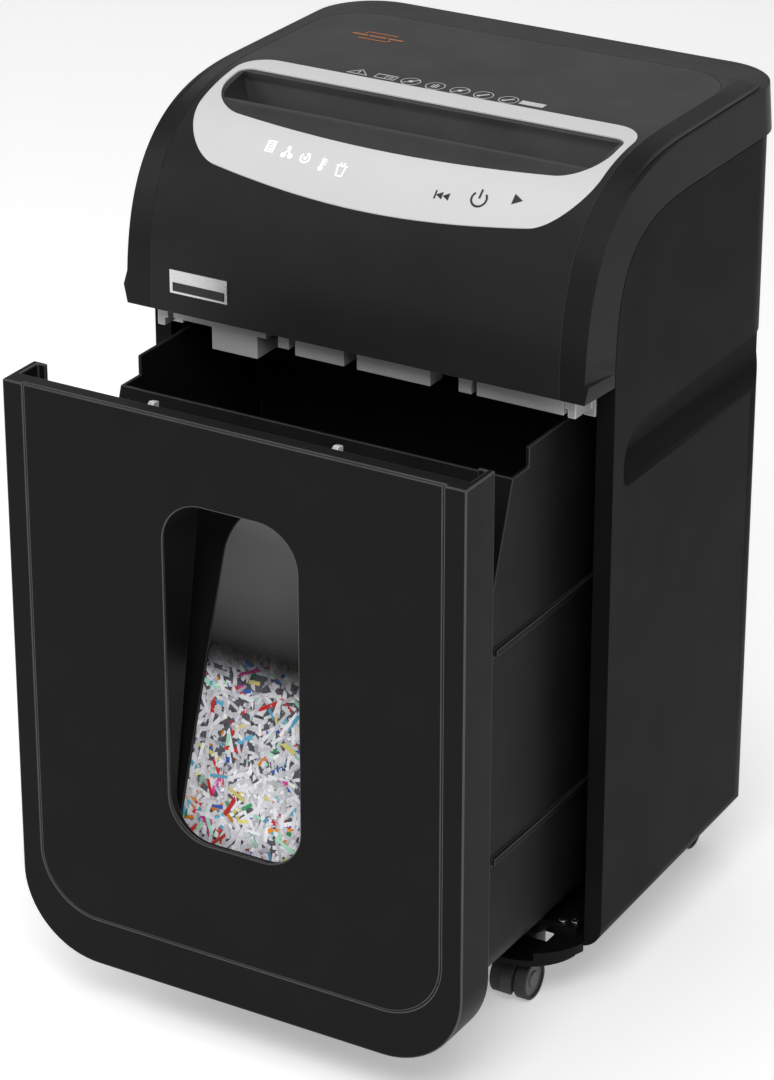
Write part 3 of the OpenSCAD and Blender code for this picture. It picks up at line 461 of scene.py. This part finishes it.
def makeHood():
    piece = copyNode("hood_frame", "hood_frame_form")
    # Lines on which the top starts to fall towards the sides and the back, then cuts across the strips
    planes = [((case["coverHalfWidth"], 0, 0), (1, 0, 0)), ((-case["coverHalfWidth"], 0, 0), (1, 0, 0)),
              ((0, case["coverBackY"], 0), (0, 1, 0))]
    planes += [((0, y, 0), (0, 1, 0)) for y in hood["crossCuts"]]
    for step in range(1, hood["fanCuts"] + 1):
        turn = math.radians(90 * step / hood["fanCuts"])
        planes.append(((0, case["curveY"], case["headLow"]), (0, math.sin(turn), math.cos(turn))))
    for plane, normal in planes:
        pick(piece)
        bpy.ops.object.mode_set(mode="EDIT")
        bpy.ops.mesh.select_all(action="SELECT")
        bpy.ops.mesh.bisect(plane_co=plane, plane_no=normal)
        bpy.ops.object.mode_set(mode="OBJECT")
    for vertex in piece.data.vertices:
        place = vertex.co
        corner = Vector((abs(place.x) - hood["cornerX"], place.y - hood["cornerY"]))
        offRound = abs(corner.length - hood["cornerRadius"])
        atCorner = corner.x > 0 and corner.y > 0 and offRound < 2 * hood["near"]
        if abs(place.z - headHeight(place.y)) > 3 * hood["near"]:
            # The side's lower edge stands further out, flush with the cabinet
            if corner.x > hood["cornerRadius"] - hood["near"] / 2 or atCorner:
                vertex.co.x += math.copysign(hood["flare"] * corner.x / hood["cornerRadius"], place.x)
            continue
        atSide = abs(abs(place.x) - case["hoodHalfWidth"]) < hood["near"]
        atBack = abs(place.y - case["hoodBackY"]) < hood["near"]
        if atSide or atBack or atCorner:
            share = max(0.0, min(1.0, (place.z - hood["crownStart"]) / (case["top"] - hood["crownStart"])))
            vertex.co = place - headNormal(place.y, place.z) * hood["crownDrop"] * share
    piece.data.materials.clear()
    piece.data.materials.append(finishes["blackCase"])
    soften(piece, hood["edgeWidth"], "caseEdgeHighlight", angle=28, smooth=24)
    own(piece, "case", "black_case", "hood_frame")


makeHood()
finishNode("top_cover", "coverBlack", "caseEdgeHighlight", 0.0008, angle=40, smooth=24)
finishNode("control_panel", "silverPanel", "panelEdgeHighlight", 0.0011, angle=40, smooth=24)
finishNode("throat_insert", "blackTrim", "trimEdgeHighlight", 0.0016, segments=3, angle=40, smooth=35)
print("head covers")

plate = {"low": 0.4775, "high": 0.4945, "left": -0.140, "right": -0.094, "stripHigh": 0.4855}
finishNode("service_plate", "plateMetal", None, 0.0004)


def addBox(low, high, name):
    bpy.ops.mesh.primitive_cube_add(size=1, location=[(a + b) / 2 for a, b in zip(low, high)])
    piece = bpy.context.object
    piece.name = name
    piece.scale = [b - a for a, b in zip(low, high)]
    return settle(piece)


strip = addBox((plate["left"] + 0.0025, case["faceY"] - 0.0010, plate["low"] + 0.0018),
               (plate["right"] - 0.0025, case["faceY"] - 0.0005, plate["stripHigh"]), "service_strip")
strip.data.materials.append(finishes["stripInk"])
soften(strip, 0.0002)
own(strip, "case", "plate_metal")


# Plain signs that stand on the head. Each is a list of strokes in millimetres: bar (x, y, x, y, width),
# ring (x, y, radius, width, gap in degrees at its top), disc (x, y, radius) and wedge (x, y, radius, turn).
marks = {
    "rewind": [("bar", -5.6, -2.6, -5.6, 2.6, 1.1), ("wedge", -2.0, 0, 3.1, 180), ("wedge", 2.9, 0, 3.1, 180)],
    "power": [("ring", 0, -0.6, 5.4, 1.25, 74), ("bar", 0, 0.2, 0, 6.0, 1.35)],
    "play": [("wedge", 0, 0, 4.6, 0)],
    "sheetLamp": [("bar", -2.8, -4, -2.8, 4, 0.9), ("bar", 2.8, -4, 2.8, 4, 0.9), ("bar", -2.8, 4, 2.8, 4, 0.9),
                  ("bar", -2.8, -4, 2.8, -4, 0.9), ("bar", -1.7, 2, 1.7, 2, 0.8), ("bar", -1.7, 0, 1.7, 0, 0.8),
                  ("bar", -1.7, -2, 1.7, -2, 0.8)],
    "loadLamp": [("disc", 0, 3.1, 1.5), ("bar", -3.4, -3.6, 0, 1.8, 1.0), ("bar", 3.4, -3.6, 0, 1.8, 1.0),
                 ("ring", -2.6, -2.6, 1.5, 0.8, 0), ("ring", 2.6, -2.6, 1.5, 0.8, 0)],
    "turnLamp": [("ring", 0, 0, 3.3, 1.0, 60), ("wedge", 1.6, 3.0, 1.9, 20), ("disc", 0, 0, 1.2)],
    "heatLamp": [("disc", 0, -3.0, 1.8), ("bar", 0, -3, 0, 4.2, 1.4), ("bar", 1.2, 3.6, 3.0, 3.6, 0.7),
                 ("bar", 1.2, 1.8, 3.0, 1.8, 0.7), ("bar", 1.2, 0, 3.0, 0, 0.7)],
    "binLamp": [("bar", -2.9, 2.2, -2.1, -4.2, 0.9), ("bar", 2.9, 2.2, 2.1, -4.2, 0.9),
                ("bar", -2.1, -4.2, 2.1, -4.2, 0.9), ("bar", -3.8, 3.2, 3.8, 3.2, 0.9),
                ("disc", -1.2, 4.8, 0.8), ("disc", 1.4, 4.9, 0.8)],
    "triangleLine": [("bar", -7.6, -3.6, 7.6, -3.6, 0.6), ("bar", -7.6, -3.6, 0, 5.2, 0.6),
                     ("bar", 7.6, -3.6, 0, 5.2, 0.6), ("bar", 0, -1.6, 0, 2.0, 0.8)],
    "bookLine": [("bar", -8, -3.6, -8, 3.6, 0.6), ("bar", 8, -3.6, 8, 3.6, 0.6), ("bar", -8, 3.6, 8, 3.6, 0.6),
                 ("bar", -8, -3.6, 8, -3.6, 0.6), ("bar", 0, -3.6, 0, 3.6, 0.6), ("bar", 2, 1.2, 6, 1.2, 0.6),
                 ("bar", 2, -1.2, 6, -1.2, 0.6)],
    "ringBar": [("ring", 0, 0, 7.0, 0.6, 0), ("bar", -4.4, -4.4, 4.4, 4.4, 0.6), ("disc", 0, 0, 1.9)],
    "ringStem": [("ring", 0, 0, 7.0, 0.6, 0), ("bar", -2.6, -2.6, 2.6, 2.6, 1.5), ("disc", -2.6, -2.6, 1.5)],
    "ringFan": [("ring", 0, 0, 7.0, 0.6, 0), ("bar", 0, -3.4, 0, 3.6, 1.1), ("bar", -2, -3.2, -2, 2.4, 0.9),
                ("bar", 2, -3.2, 2, 2.4, 0.9)],
    "blankTag": [("bar", -6.4, 0, 6.4, 0, 6.4)],
    "bracketMark": [("bar", -9, 5.4, 9, 5.4, 0.9), ("bar", -9, 5.4, -9, 2.6, 0.9), ("bar", -15, 0, -7, 0, 1.6),
                    ("bar", -4.5, 0, 4.5, 0, 1.6), ("bar", 7, 0, 15, 0, 1.6), ("bar", -9, -5.4, 9, -5.4, 0.9),
                    ("bar", 9, -5.4, 9, -2.6, 0.9)],
}
# Name, mark, finish, x, y, scale
printedMarks = [
    ("touch_back", "rewind", "blackInk", 0.0530, -0.0425, 1.0),
    ("touch_power", "power", "blackInk", 0.0785, -0.0400, 1.0),
    ("touch_forward", "play", "blackInk", 0.1040, -0.0370, 1.0),
    ("lamp_sheet", "sheetLamp", "whiteInkPaintedGlow", -0.0827, -0.0348, 1.0),
    ("lamp_load", "loadLamp", "whiteInkPaintedGlow", -0.0685, -0.0362, 1.0),
    ("lamp_turn", "turnLamp", "whiteInkPaintedGlow", -0.0544, -0.0376, 1.0),
    ("lamp_heat", "heatLamp", "whiteInkPaintedGlow", -0.0407, -0.0390, 1.0),
    ("lamp_bin", "binLamp", "whiteInkPaintedGlow", -0.0256, -0.0402, 1.0),
    ("sign_triangle", "triangleLine", "lineInk", -0.0710, 0.0595, 1.0),
    ("sign_book", "bookLine", "lineInk", -0.0500, 0.0595, 0.95),
    ("sign_ring_a", "ringBar", "lineInk", -0.0310, 0.0598, 0.95),
    ("sign_ring_b", "ringFan", "lineInk", -0.0120, 0.0598, 0.95),
    ("sign_ring_c", "ringBar", "lineInk", 0.0070, 0.0598, 0.95),
    ("sign_ring_d", "ringStem", "lineInk", 0.0250, 0.0598, 0.95),
    ("sign_ring_e", "ringStem", "lineInk", 0.0440, 0.0598, 0.95),
    ("sign_tag", "blankTag", "lineInk", 0.0620, 0.0600, 1.0),
    ("cover_mark", "bracketMark", "orangeInk", -0.0990, 0.1310, 1.3),
]
inkHeight = 0.00022


def addStroke(stroke):
    kind, values = stroke[0], [value / 1000 for value in stroke[1:]]
    if kind == "bar":
        x1, y1, x2, y2, width = values
        length = math.hypot(x2 - x1, y2 - y1)
        bpy.ops.mesh.primitive_cube_add(size=1, location=((x1 + x2) / 2, (y1 + y2) / 2, 0),
                                        rotation=(0, 0, math.atan2(y2 - y1, x2 - x1)))
        bpy.context.object.scale = (length + width * 0.8, width, 1)
    elif kind == "disc":
        bpy.ops.mesh.primitive_cylinder_add(vertices=20, radius=values[2], depth=1,
                                            location=(values[0], values[1], 0))
    elif kind == "wedge":
        turn = math.radians(stroke[4])
        bpy.ops.mesh.primitive_cylinder_add(vertices=3, radius=values[2], depth=1, location=(values[0], values[1], 0),
                                            rotation=(0, 0, turn - math.radians(90)))
    else:
        bpy.ops.mesh.primitive_torus_add(major_radius=values[2], minor_radius=values[3] * 0.6, major_segments=40,
                                         minor_segments=4, location=(values[0], values[1], 0))
        piece = bpy.context.object
        piece.scale = (1, 1, 0.5 / (values[3] * 0.6))
        gap = math.radians(stroke[5]) / 2
        if gap > 0:
            bpy.ops.object.mode_set(mode="EDIT")
            bpy.ops.mesh.select_all(action="DESELECT")
            bpy.ops.object.mode_set(mode="OBJECT")
            for vertex in piece.data.vertices:
                vertex.select = abs(math.atan2(vertex.co.x, vertex.co.y)) < gap
            bpy.ops.object.mode_set(mode="EDIT")
            bpy.ops.mesh.select_mode(type="VERT")
            bpy.ops.mesh.delete(type="VERT")
            bpy.ops.mesh.select_all(action="SELECT")
            bpy.ops.mesh.fill_holes(sides=0)
            bpy.ops.object.mode_set(mode="OBJECT")
    return settle(bpy.context.object)


def layMark(name, mark, finish, x, y, size):
    deselect()
    strokes = [addStroke(stroke) for stroke in marks[mark]]
    pick(*strokes)
    if len(strokes) > 1:
        bpy.ops.object.join()
    piece = bpy.context.object
    piece.name = name
    bpy.ops.object.mode_set(mode="EDIT")
    bpy.ops.mesh.select_all(action="SELECT")
    bpy.ops.mesh.subdivide(number_cuts=1)
    bpy.ops.mesh.normals_make_consistent(inside=False)
    bpy.ops.object.mode_set(mode="OBJECT")
    start = walkTo(y)
    for vertex in piece.data.vertices:
        spot = onHead(start + vertex.co.y * size)
        lift = inkHeight * (0.55 + max(-0.5, min(0.5, vertex.co.z)))
        place = spot + headNormal(spot.y, spot.z) * lift
        vertex.co = (x + vertex.co.x * size, place.y, place.z)
    piece.data.materials.clear()
    piece.data.materials.append(finishes[finish])
    own(piece, "case", "lamp")


for printedMark in printedMarks:
    layMark(*printedMark)
print("marks:", len(printedMarks))


finishNode("head_base", "greyPlastic", "greyEdgeHighlight", 0.0034, segments=4, smooth=40)
finishNode("side_clips", "greyPlastic", "greyEdgeHighlight", 0.0008)
finishNode("side_panel_left", "sideBlackShaded", "drawerEdgeHighlight", 0.0009, angle=30, smooth=28)
finishNode("side_panel_right", "sideBlackShaded", "drawerEdgeHighlight", 0.0009, angle=30, smooth=28)
finishNode("rear_panel", "blackCase", "caseEdgeHighlight", 0.0006, angle=40, smooth=28)
finishNode("cord_gland", "blackTrim", "trimEdgeHighlight", 0.0005)
# The riser behind the apron stands back a little behind the shut drawer's rim
riser = {"halfWidth": 0.106, "front": -0.0374, "back": -0.0361, "low": 0.0388, "setBack": 0.0006}
for vertex in finishNode("base_tray", "binPlastic", "binEdgeHighlight", 0.0008).data.vertices:
    if (abs(vertex.co.x) < riser["halfWidth"] and riser["front"] < vertex.co.y < riser["back"]
            and vertex.co.z > riser["low"]):
        vertex.co.y += riser["setBack"]

# Webs behind the front casters' sockets, which close the base to the front
web = {"inner": 0.104, "outer": 0.157, "front": -0.0184, "back": -0.0169, "low": 0.0332, "high": 0.0515}
for side in (-1, 1):
    deselect()
    ends = sorted((side * web["inner"], side * web["outer"]))
    piece = addBox((ends[0], web["front"], web["low"]), (ends[1], web["back"], web["high"]), "base_web")
    piece.name = "base_web_" + ("left" if side < 0 else "right")
    piece.data.materials.append(finishes["binPlastic"])
    soften(piece, 0.0003)
    own(piece, "case", "bin_plastic")
print("cabinet")


screw = {
    "radius": 0.0033,
    "height": 0.0019,
    "crossLength": 0.0036,
    "crossWidth": 0.0008,
    "crossDepth": 0.0009,
    "seatZ": 0.054,
    "places": ((0.146, -0.031), (0.154, -0.028)),
}


def makeScrews():
    # Pan heads with a cross recess
    made = []
    for side in (-1, 1):
        for x, y in screw["places"]:
            place = (side * x, y, screw["seatZ"])
            bpy.ops.mesh.primitive_cylinder_add(vertices=28, radius=screw["radius"], depth=screw["height"],
                                                location=(place[0], place[1], place[2] + screw["height"] / 2))
            head = settle(bpy.context.object)
            top = place[2] + screw["height"]
            for turn in (0, 1):
                lengths = (screw["crossLength"], screw["crossWidth"])
                halfX, halfY = lengths[turn] / 2, lengths[1 - turn] / 2
                cutter = addBox((place[0] - halfX, place[1] - halfY, top - screw["crossDepth"]),
                                (place[0] + halfX, place[1] + halfY, top + 0.001), "cutter")
                cut = head.modifiers.new("cut", "BOOLEAN")
                cut.object = cutter
                cut.operation = "DIFFERENCE"
                applyAll(head)
                bpy.data.objects.remove(cutter)
            head.data.materials.clear()
            head.data.materials.append(finishes["brightSteel"])
            made.append(head)
    pick(*made)
    bpy.ops.object.join()
    piece = bpy.context.object
    piece.name = "base_screw_heads"
    soften(piece, 0.0003)
    own(piece, "case", "steel")


makeScrews()
for holder in nodes["base_screws"].material_slots:
    holder.material = finishes["brightSteel"]


finishNode("drawer_frame", "drawerBlack", "drawerEdgeHighlight", 0.0011, angle=40, smooth=28)
finishNode("drawer_facing", "drawerBlack", "drawerEdgeHighlight", 0.0009, angle=40, smooth=28)
finishNode("window_shroud", "shroudBlack", "caseEdgeHighlight", 0.0006, angle=40, smooth=28)
finishNode("waste_bin", "binPlastic", "binEdgeHighlight", 0.0007, angle=40, smooth=28)
finishNode("latch_tabs", "greyPlastic", "greyEdgeHighlight", 0.0006)
print("drawer")

shreds = {
    "length": (0.015, 0.027),
    "width": (0.0020, 0.0032),
    "frontCount": 4300,
    "topCount": 700,
    "halfWidth": 0.060,
    "lowZ": 0.148,
    "highZ": 0.272,
    "leanZ": 0.160,
    "lean": 0.346,
    "thickness": 0.00022,
    "bendAt": 0.17,           # share of the length at which a strip bends
    "curl": 0.0010,
    "frontTilt": 5,
    "topTilt": 18,
    "behindFace": 0.009,      # from the drawer's front to the bin's
    "frontDepth": (0.0036, 0.0058),
    "topX": 0.132,
    "topY": (-0.150, 0.040),
    "topZ": 0.2735,
    "topRise": 0.004,
    "fallAtTop": 0.012,
    "shade": (0.62, 1.05),
}
tints = [
    ((0.80, 0.80, 0.85), 46), ((0.93, 0.93, 0.96), 32), ((0.52, 0.52, 0.60), 5), ((0.66, 0.03, 0.03), 3.4),
    ((0.04, 0.34, 0.13), 3.0), ((0.04, 0.13, 0.50), 2.6), ((0.85, 0.28, 0.02), 2.6), ((0.85, 0.76, 0.22), 3.2),
    ((0.12, 0.46, 0.68), 2.4), ((0.42, 0.80, 0.58), 2.6), ((0.72, 0.06, 0.34), 1.6),
]
tintPool = [colour for colour, weight in tints for count in range(int(weight * 5))]


def randomTilt(limit):
    turns = [math.radians(random.uniform(-limit, limit)) for axis in "XY"]
    return Matrix.Rotation(turns[0], 4, "X") @ Matrix.Rotation(turns[1], 4, "Y")


def makeShreds():
    # One curled strip, bent across its length, then copied
    deselect()
    bpy.ops.mesh.primitive_cube_add(size=1)
    strip = bpy.context.object
    strip.scale = (1, 1, shreds["thickness"])
    settle(strip)
    bpy.ops.object.mode_set(mode="EDIT")
    for cut in (-shreds["bendAt"], shreds["bendAt"]):
        bpy.ops.mesh.select_all(action="SELECT")
        bpy.ops.mesh.bisect(plane_co=(cut, 0, 0), plane_no=(1, 0, 0))
    bpy.ops.object.mode_set(mode="OBJECT")
    strip.data.attributes.new("tint", "FLOAT_COLOR", "POINT")
    copies = []
    total = shreds["frontCount"] + shreds["topCount"]
    backOfFace = case["frontY"] + shreds["behindFace"]
    for index in range(total):
        piece = bpy.data.objects.new("strip", strip.data.copy())
        scene.collection.objects.link(piece)
        length = random.uniform(*shreds["length"])
        width = random.uniform(*shreds["width"])
        curl = random.uniform(-shreds["curl"], shreds["curl"])
        shape = Matrix.Diagonal((length, width, 1, 1))
        turn = Matrix.Rotation(random.uniform(0, math.tau), 4, "Z")
        if index < shreds["frontCount"]:
            tilt = randomTilt(shreds["frontTilt"])
            x = random.uniform(-shreds["halfWidth"], shreds["halfWidth"])
            z = random.uniform(shreds["lowZ"], shreds["highZ"] - shreds["fallAtTop"] * random.random() ** 2)
            face = backOfFace + max(0.0, z - shreds["leanZ"]) * shreds["lean"]
            stand = Matrix.Rotation(math.radians(90) - math.atan(shreds["lean"]), 4, "X")
            move = Matrix.Translation((x, face + random.uniform(*shreds["frontDepth"]), z))
            curl *= 0.5
        else:
            tilt = randomTilt(shreds["topTilt"])
            x = random.uniform(-shreds["topX"], shreds["topX"])
            y = random.uniform(*shreds["topY"])
            stand = Matrix.Identity(4)
            move = Matrix.Translation((x, y, shreds["topZ"] + random.uniform(0, shreds["topRise"])))
        for vertex in piece.data.vertices:
            vertex.co.z += curl * (1 - 4 * vertex.co.x ** 2)
        piece.data.transform(move @ stand @ turn @ tilt @ shape)
        colour = random.choice(tintPool)
        shade = random.uniform(*shreds["shade"])
        for value in piece.data.attributes["tint"].data:
            value.color = [min(1, channel * shade) for channel in colour] + [1]
        copies.append(piece)
    bpy.data.objects.remove(strip)
    pick(*copies)
    bpy.ops.object.join()
    heap = bpy.context.object
    heap.name = "shred_strips"
    heap.data.materials.clear()
    heap.data.materials.append(finishes["paperStrips"])
    own(heap, "drawer", "shreds")
    print("shred strips:", total)


makeShreds()


caster = {
    "stemX": 0.122,
    "frontY": -0.0285,
    "rearY": 0.169,
    "trail": 0.024,
    "wheelRadius": 0.015,
    "wheelWidth": 0.009,
    "wheelGap": 0.005,       # from the caster's middle to a wheel's inner face
    "guardRadius": 0.0175,
    "guardGap": 0.0006,      # between the guard and each wheel
    "tyre": 0.0026,          # width of the rubber seen from the side
    "dish": 0.0014,
    "dishWidth": 0.0062,
    "cap": 0.0012,
    "axleRadius": 0.0025,
    "axleLength": 0.0145,
}


def makeWheel(middle, side):
    bpy.ops.mesh.primitive_cylinder_add(vertices=48, radius=caster["wheelRadius"] - 0.0001,
                                        depth=caster["wheelWidth"], location=middle,
                                        rotation=(0, math.radians(90), 0))
    wheel = settle(bpy.context.object)
    wheel.data.materials.clear()
    wheel.data.materials.append(finishes["wheelRubber"])
    wheel.data.materials.append(finishes["wheelPlastic"])
    # Hub dished into the outer face, with a raised cap in its middle
    for outward in (side, -side):
        selectFaces(wheel, lambda face: face.normal.x * outward > 0.9)
        bpy.ops.mesh.inset(thickness=caster["tyre"])
        bpy.context.object.active_material_index = 1
        bpy.ops.object.material_slot_assign()
        bpy.ops.mesh.extrude_region_move(TRANSFORM_OT_translate={"value": (-outward * caster["dish"], 0, 0)})
        bpy.ops.mesh.inset(thickness=caster["dishWidth"])
        bpy.ops.mesh.extrude_region_move(TRANSFORM_OT_translate={"value": (outward * caster["cap"], 0, 0)})
        bpy.ops.mesh.inset(thickness=0.0016)
        bpy.ops.object.mode_set(mode="OBJECT")
    soften(wheel, 0.0009, segments=3, angle=35)
    return wheel


def makeGuard(stemX, axleY, way):
    # Guard that wraps over the wheels
    bpy.ops.mesh.primitive_cylinder_add(vertices=48, radius=caster["guardRadius"],
                                        depth=2 * (caster["wheelGap"] - caster["guardGap"]),
                                        location=(stemX, axleY, caster["wheelRadius"]),
                                        rotation=(0, math.radians(90), 0))
    guard = settle(bpy.context.object)
    bpy.ops.object.mode_set(mode="EDIT")
    bpy.ops.mesh.select_all(action="SELECT")
    bpy.ops.mesh.bisect(plane_co=(0, axleY, caster["wheelRadius"] - 0.002), plane_no=(0, way * 0.35, 1),
                        clear_inner=True, use_fill=True)
    bpy.ops.object.mode_set(mode="OBJECT")
    guard.data.materials.clear()
    guard.data.materials.append(finishes["casterPlastic"])
    soften(guard, 0.0008, segments=2)
    return guard


for place in ("front_left", "front_right", "rear_left", "rear_right"):
    stemX = caster["stemX"] * (-1 if place.endswith("left") else 1)
    way = -1 if place.startswith("front") else 1
    stemY = caster["frontY"] if way < 0 else caster["rearY"]
    axleY = stemY + way * caster["trail"]
    finishNode("caster_fork_" + place, "casterPlastic", None, 0.0006)
    deselect()
    guard = makeGuard(stemX, axleY, way)
    guard.name = "caster_guard_" + place
    own(guard, "caster_" + place, "caster_plastic")
    wheels = []
    for side in (-1, 1):
        deselect()
        middle = (stemX + side * (caster["wheelGap"] + caster["wheelWidth"] / 2), axleY, caster["wheelRadius"])
        wheels.append(makeWheel(middle, side))
    deselect()
    bpy.ops.mesh.primitive_cylinder_add(vertices=20, radius=caster["axleRadius"],
                                        depth=caster["axleLength"], rotation=(0, math.radians(90), 0),
                                        location=(stemX, axleY, caster["wheelRadius"]))
    axle = settle(bpy.context.object)
    axle.data.materials.append(finishes["steel"])
    soften(axle, 0.0003)
    pick(wheels[0], wheels[1], axle)
    bpy.ops.object.join()
    pair = bpy.context.object
    pair.name = "caster_wheel_pair_" + place
    own(pair, "wheels_" + place, "wheel_rubber", "caster_wheels_" + place)
print("casters")


camera = {
    "place": (1.236, -2.108, 1.445),
    "azimuth": 30.67,
    "elevation": 25.15,
    "lens": 130.66,
}
studio = {"floorSize": 8, "floorGlow": 0.36, "ambient": 0.30}
# Name, place, point that it faces, width, height and power
lights = [
    ("key", (0.9, -1.7, 2.3), (0, 0, 0.35), 1.6, 1.2, 38),
    ("left fill", (-2.1, -1.0, 1.2), (0, 0, 0.35), 1.6, 1.6, 18),
    ("back", (-1.5, 2.3, 1.9), (0, 0, 0.5), 2.4, 1.2, 6),
    ("top", (-0.2, -0.2, 2.6), (0, 0, 0.5), 1.6, 1.6, 11),
]


def aimAt(piece, target):
    piece.rotation_euler = (Vector(target) - piece.location).to_track_quat("-Z", "Y").to_euler()


def makeStudio():
    deselect()
    bpy.ops.mesh.primitive_plane_add(size=studio["floorSize"], location=(0, 0, 0))
    floor = bpy.context.object
    floor.name = "floor"
    finish = Finish("floorWhite")
    tone = finish.noise(3, 2)
    floor.data.materials.append(finish.done({
        "Base Color": finish.blend(tone, (0.93, 0.93, 0.93, 1), (0.95, 0.95, 0.95, 1)),
        "Roughness": 0.9,
        "Specular IOR Level": 0.1,
        "Emission Color": (1, 1, 1, 1),
        "Emission Strength": studio["floorGlow"],
    }))
    for name, place, target, width, height, power in lights:
        data = bpy.data.lights.new(name, "AREA")
        data.shape = "RECTANGLE"
        data.size = width
        data.size_y = height
        data.energy = power
        holder = bpy.data.objects.new(name, data)
        scene.collection.objects.link(holder)
        holder.location = place
        aimAt(holder, target)
    world = bpy.data.worlds.new("studio")
    scene.world = world
    world.use_nodes = True
    world.node_tree.nodes["Background"].inputs["Color"].default_value = (1, 1, 1, 1)
    world.node_tree.nodes["Background"].inputs["Strength"].default_value = studio["ambient"]
    data = bpy.data.cameras.new("camera")
    data.lens = camera["lens"]
    data.clip_end = 20
    holder = bpy.data.objects.new("camera", data)
    scene.collection.objects.link(holder)
    holder.location = camera["place"]
    holder.rotation_euler = (math.radians(90 - camera["elevation"]), 0, math.radians(camera["azimuth"]))
    scene.camera = holder
    print("studio")


makeStudio()
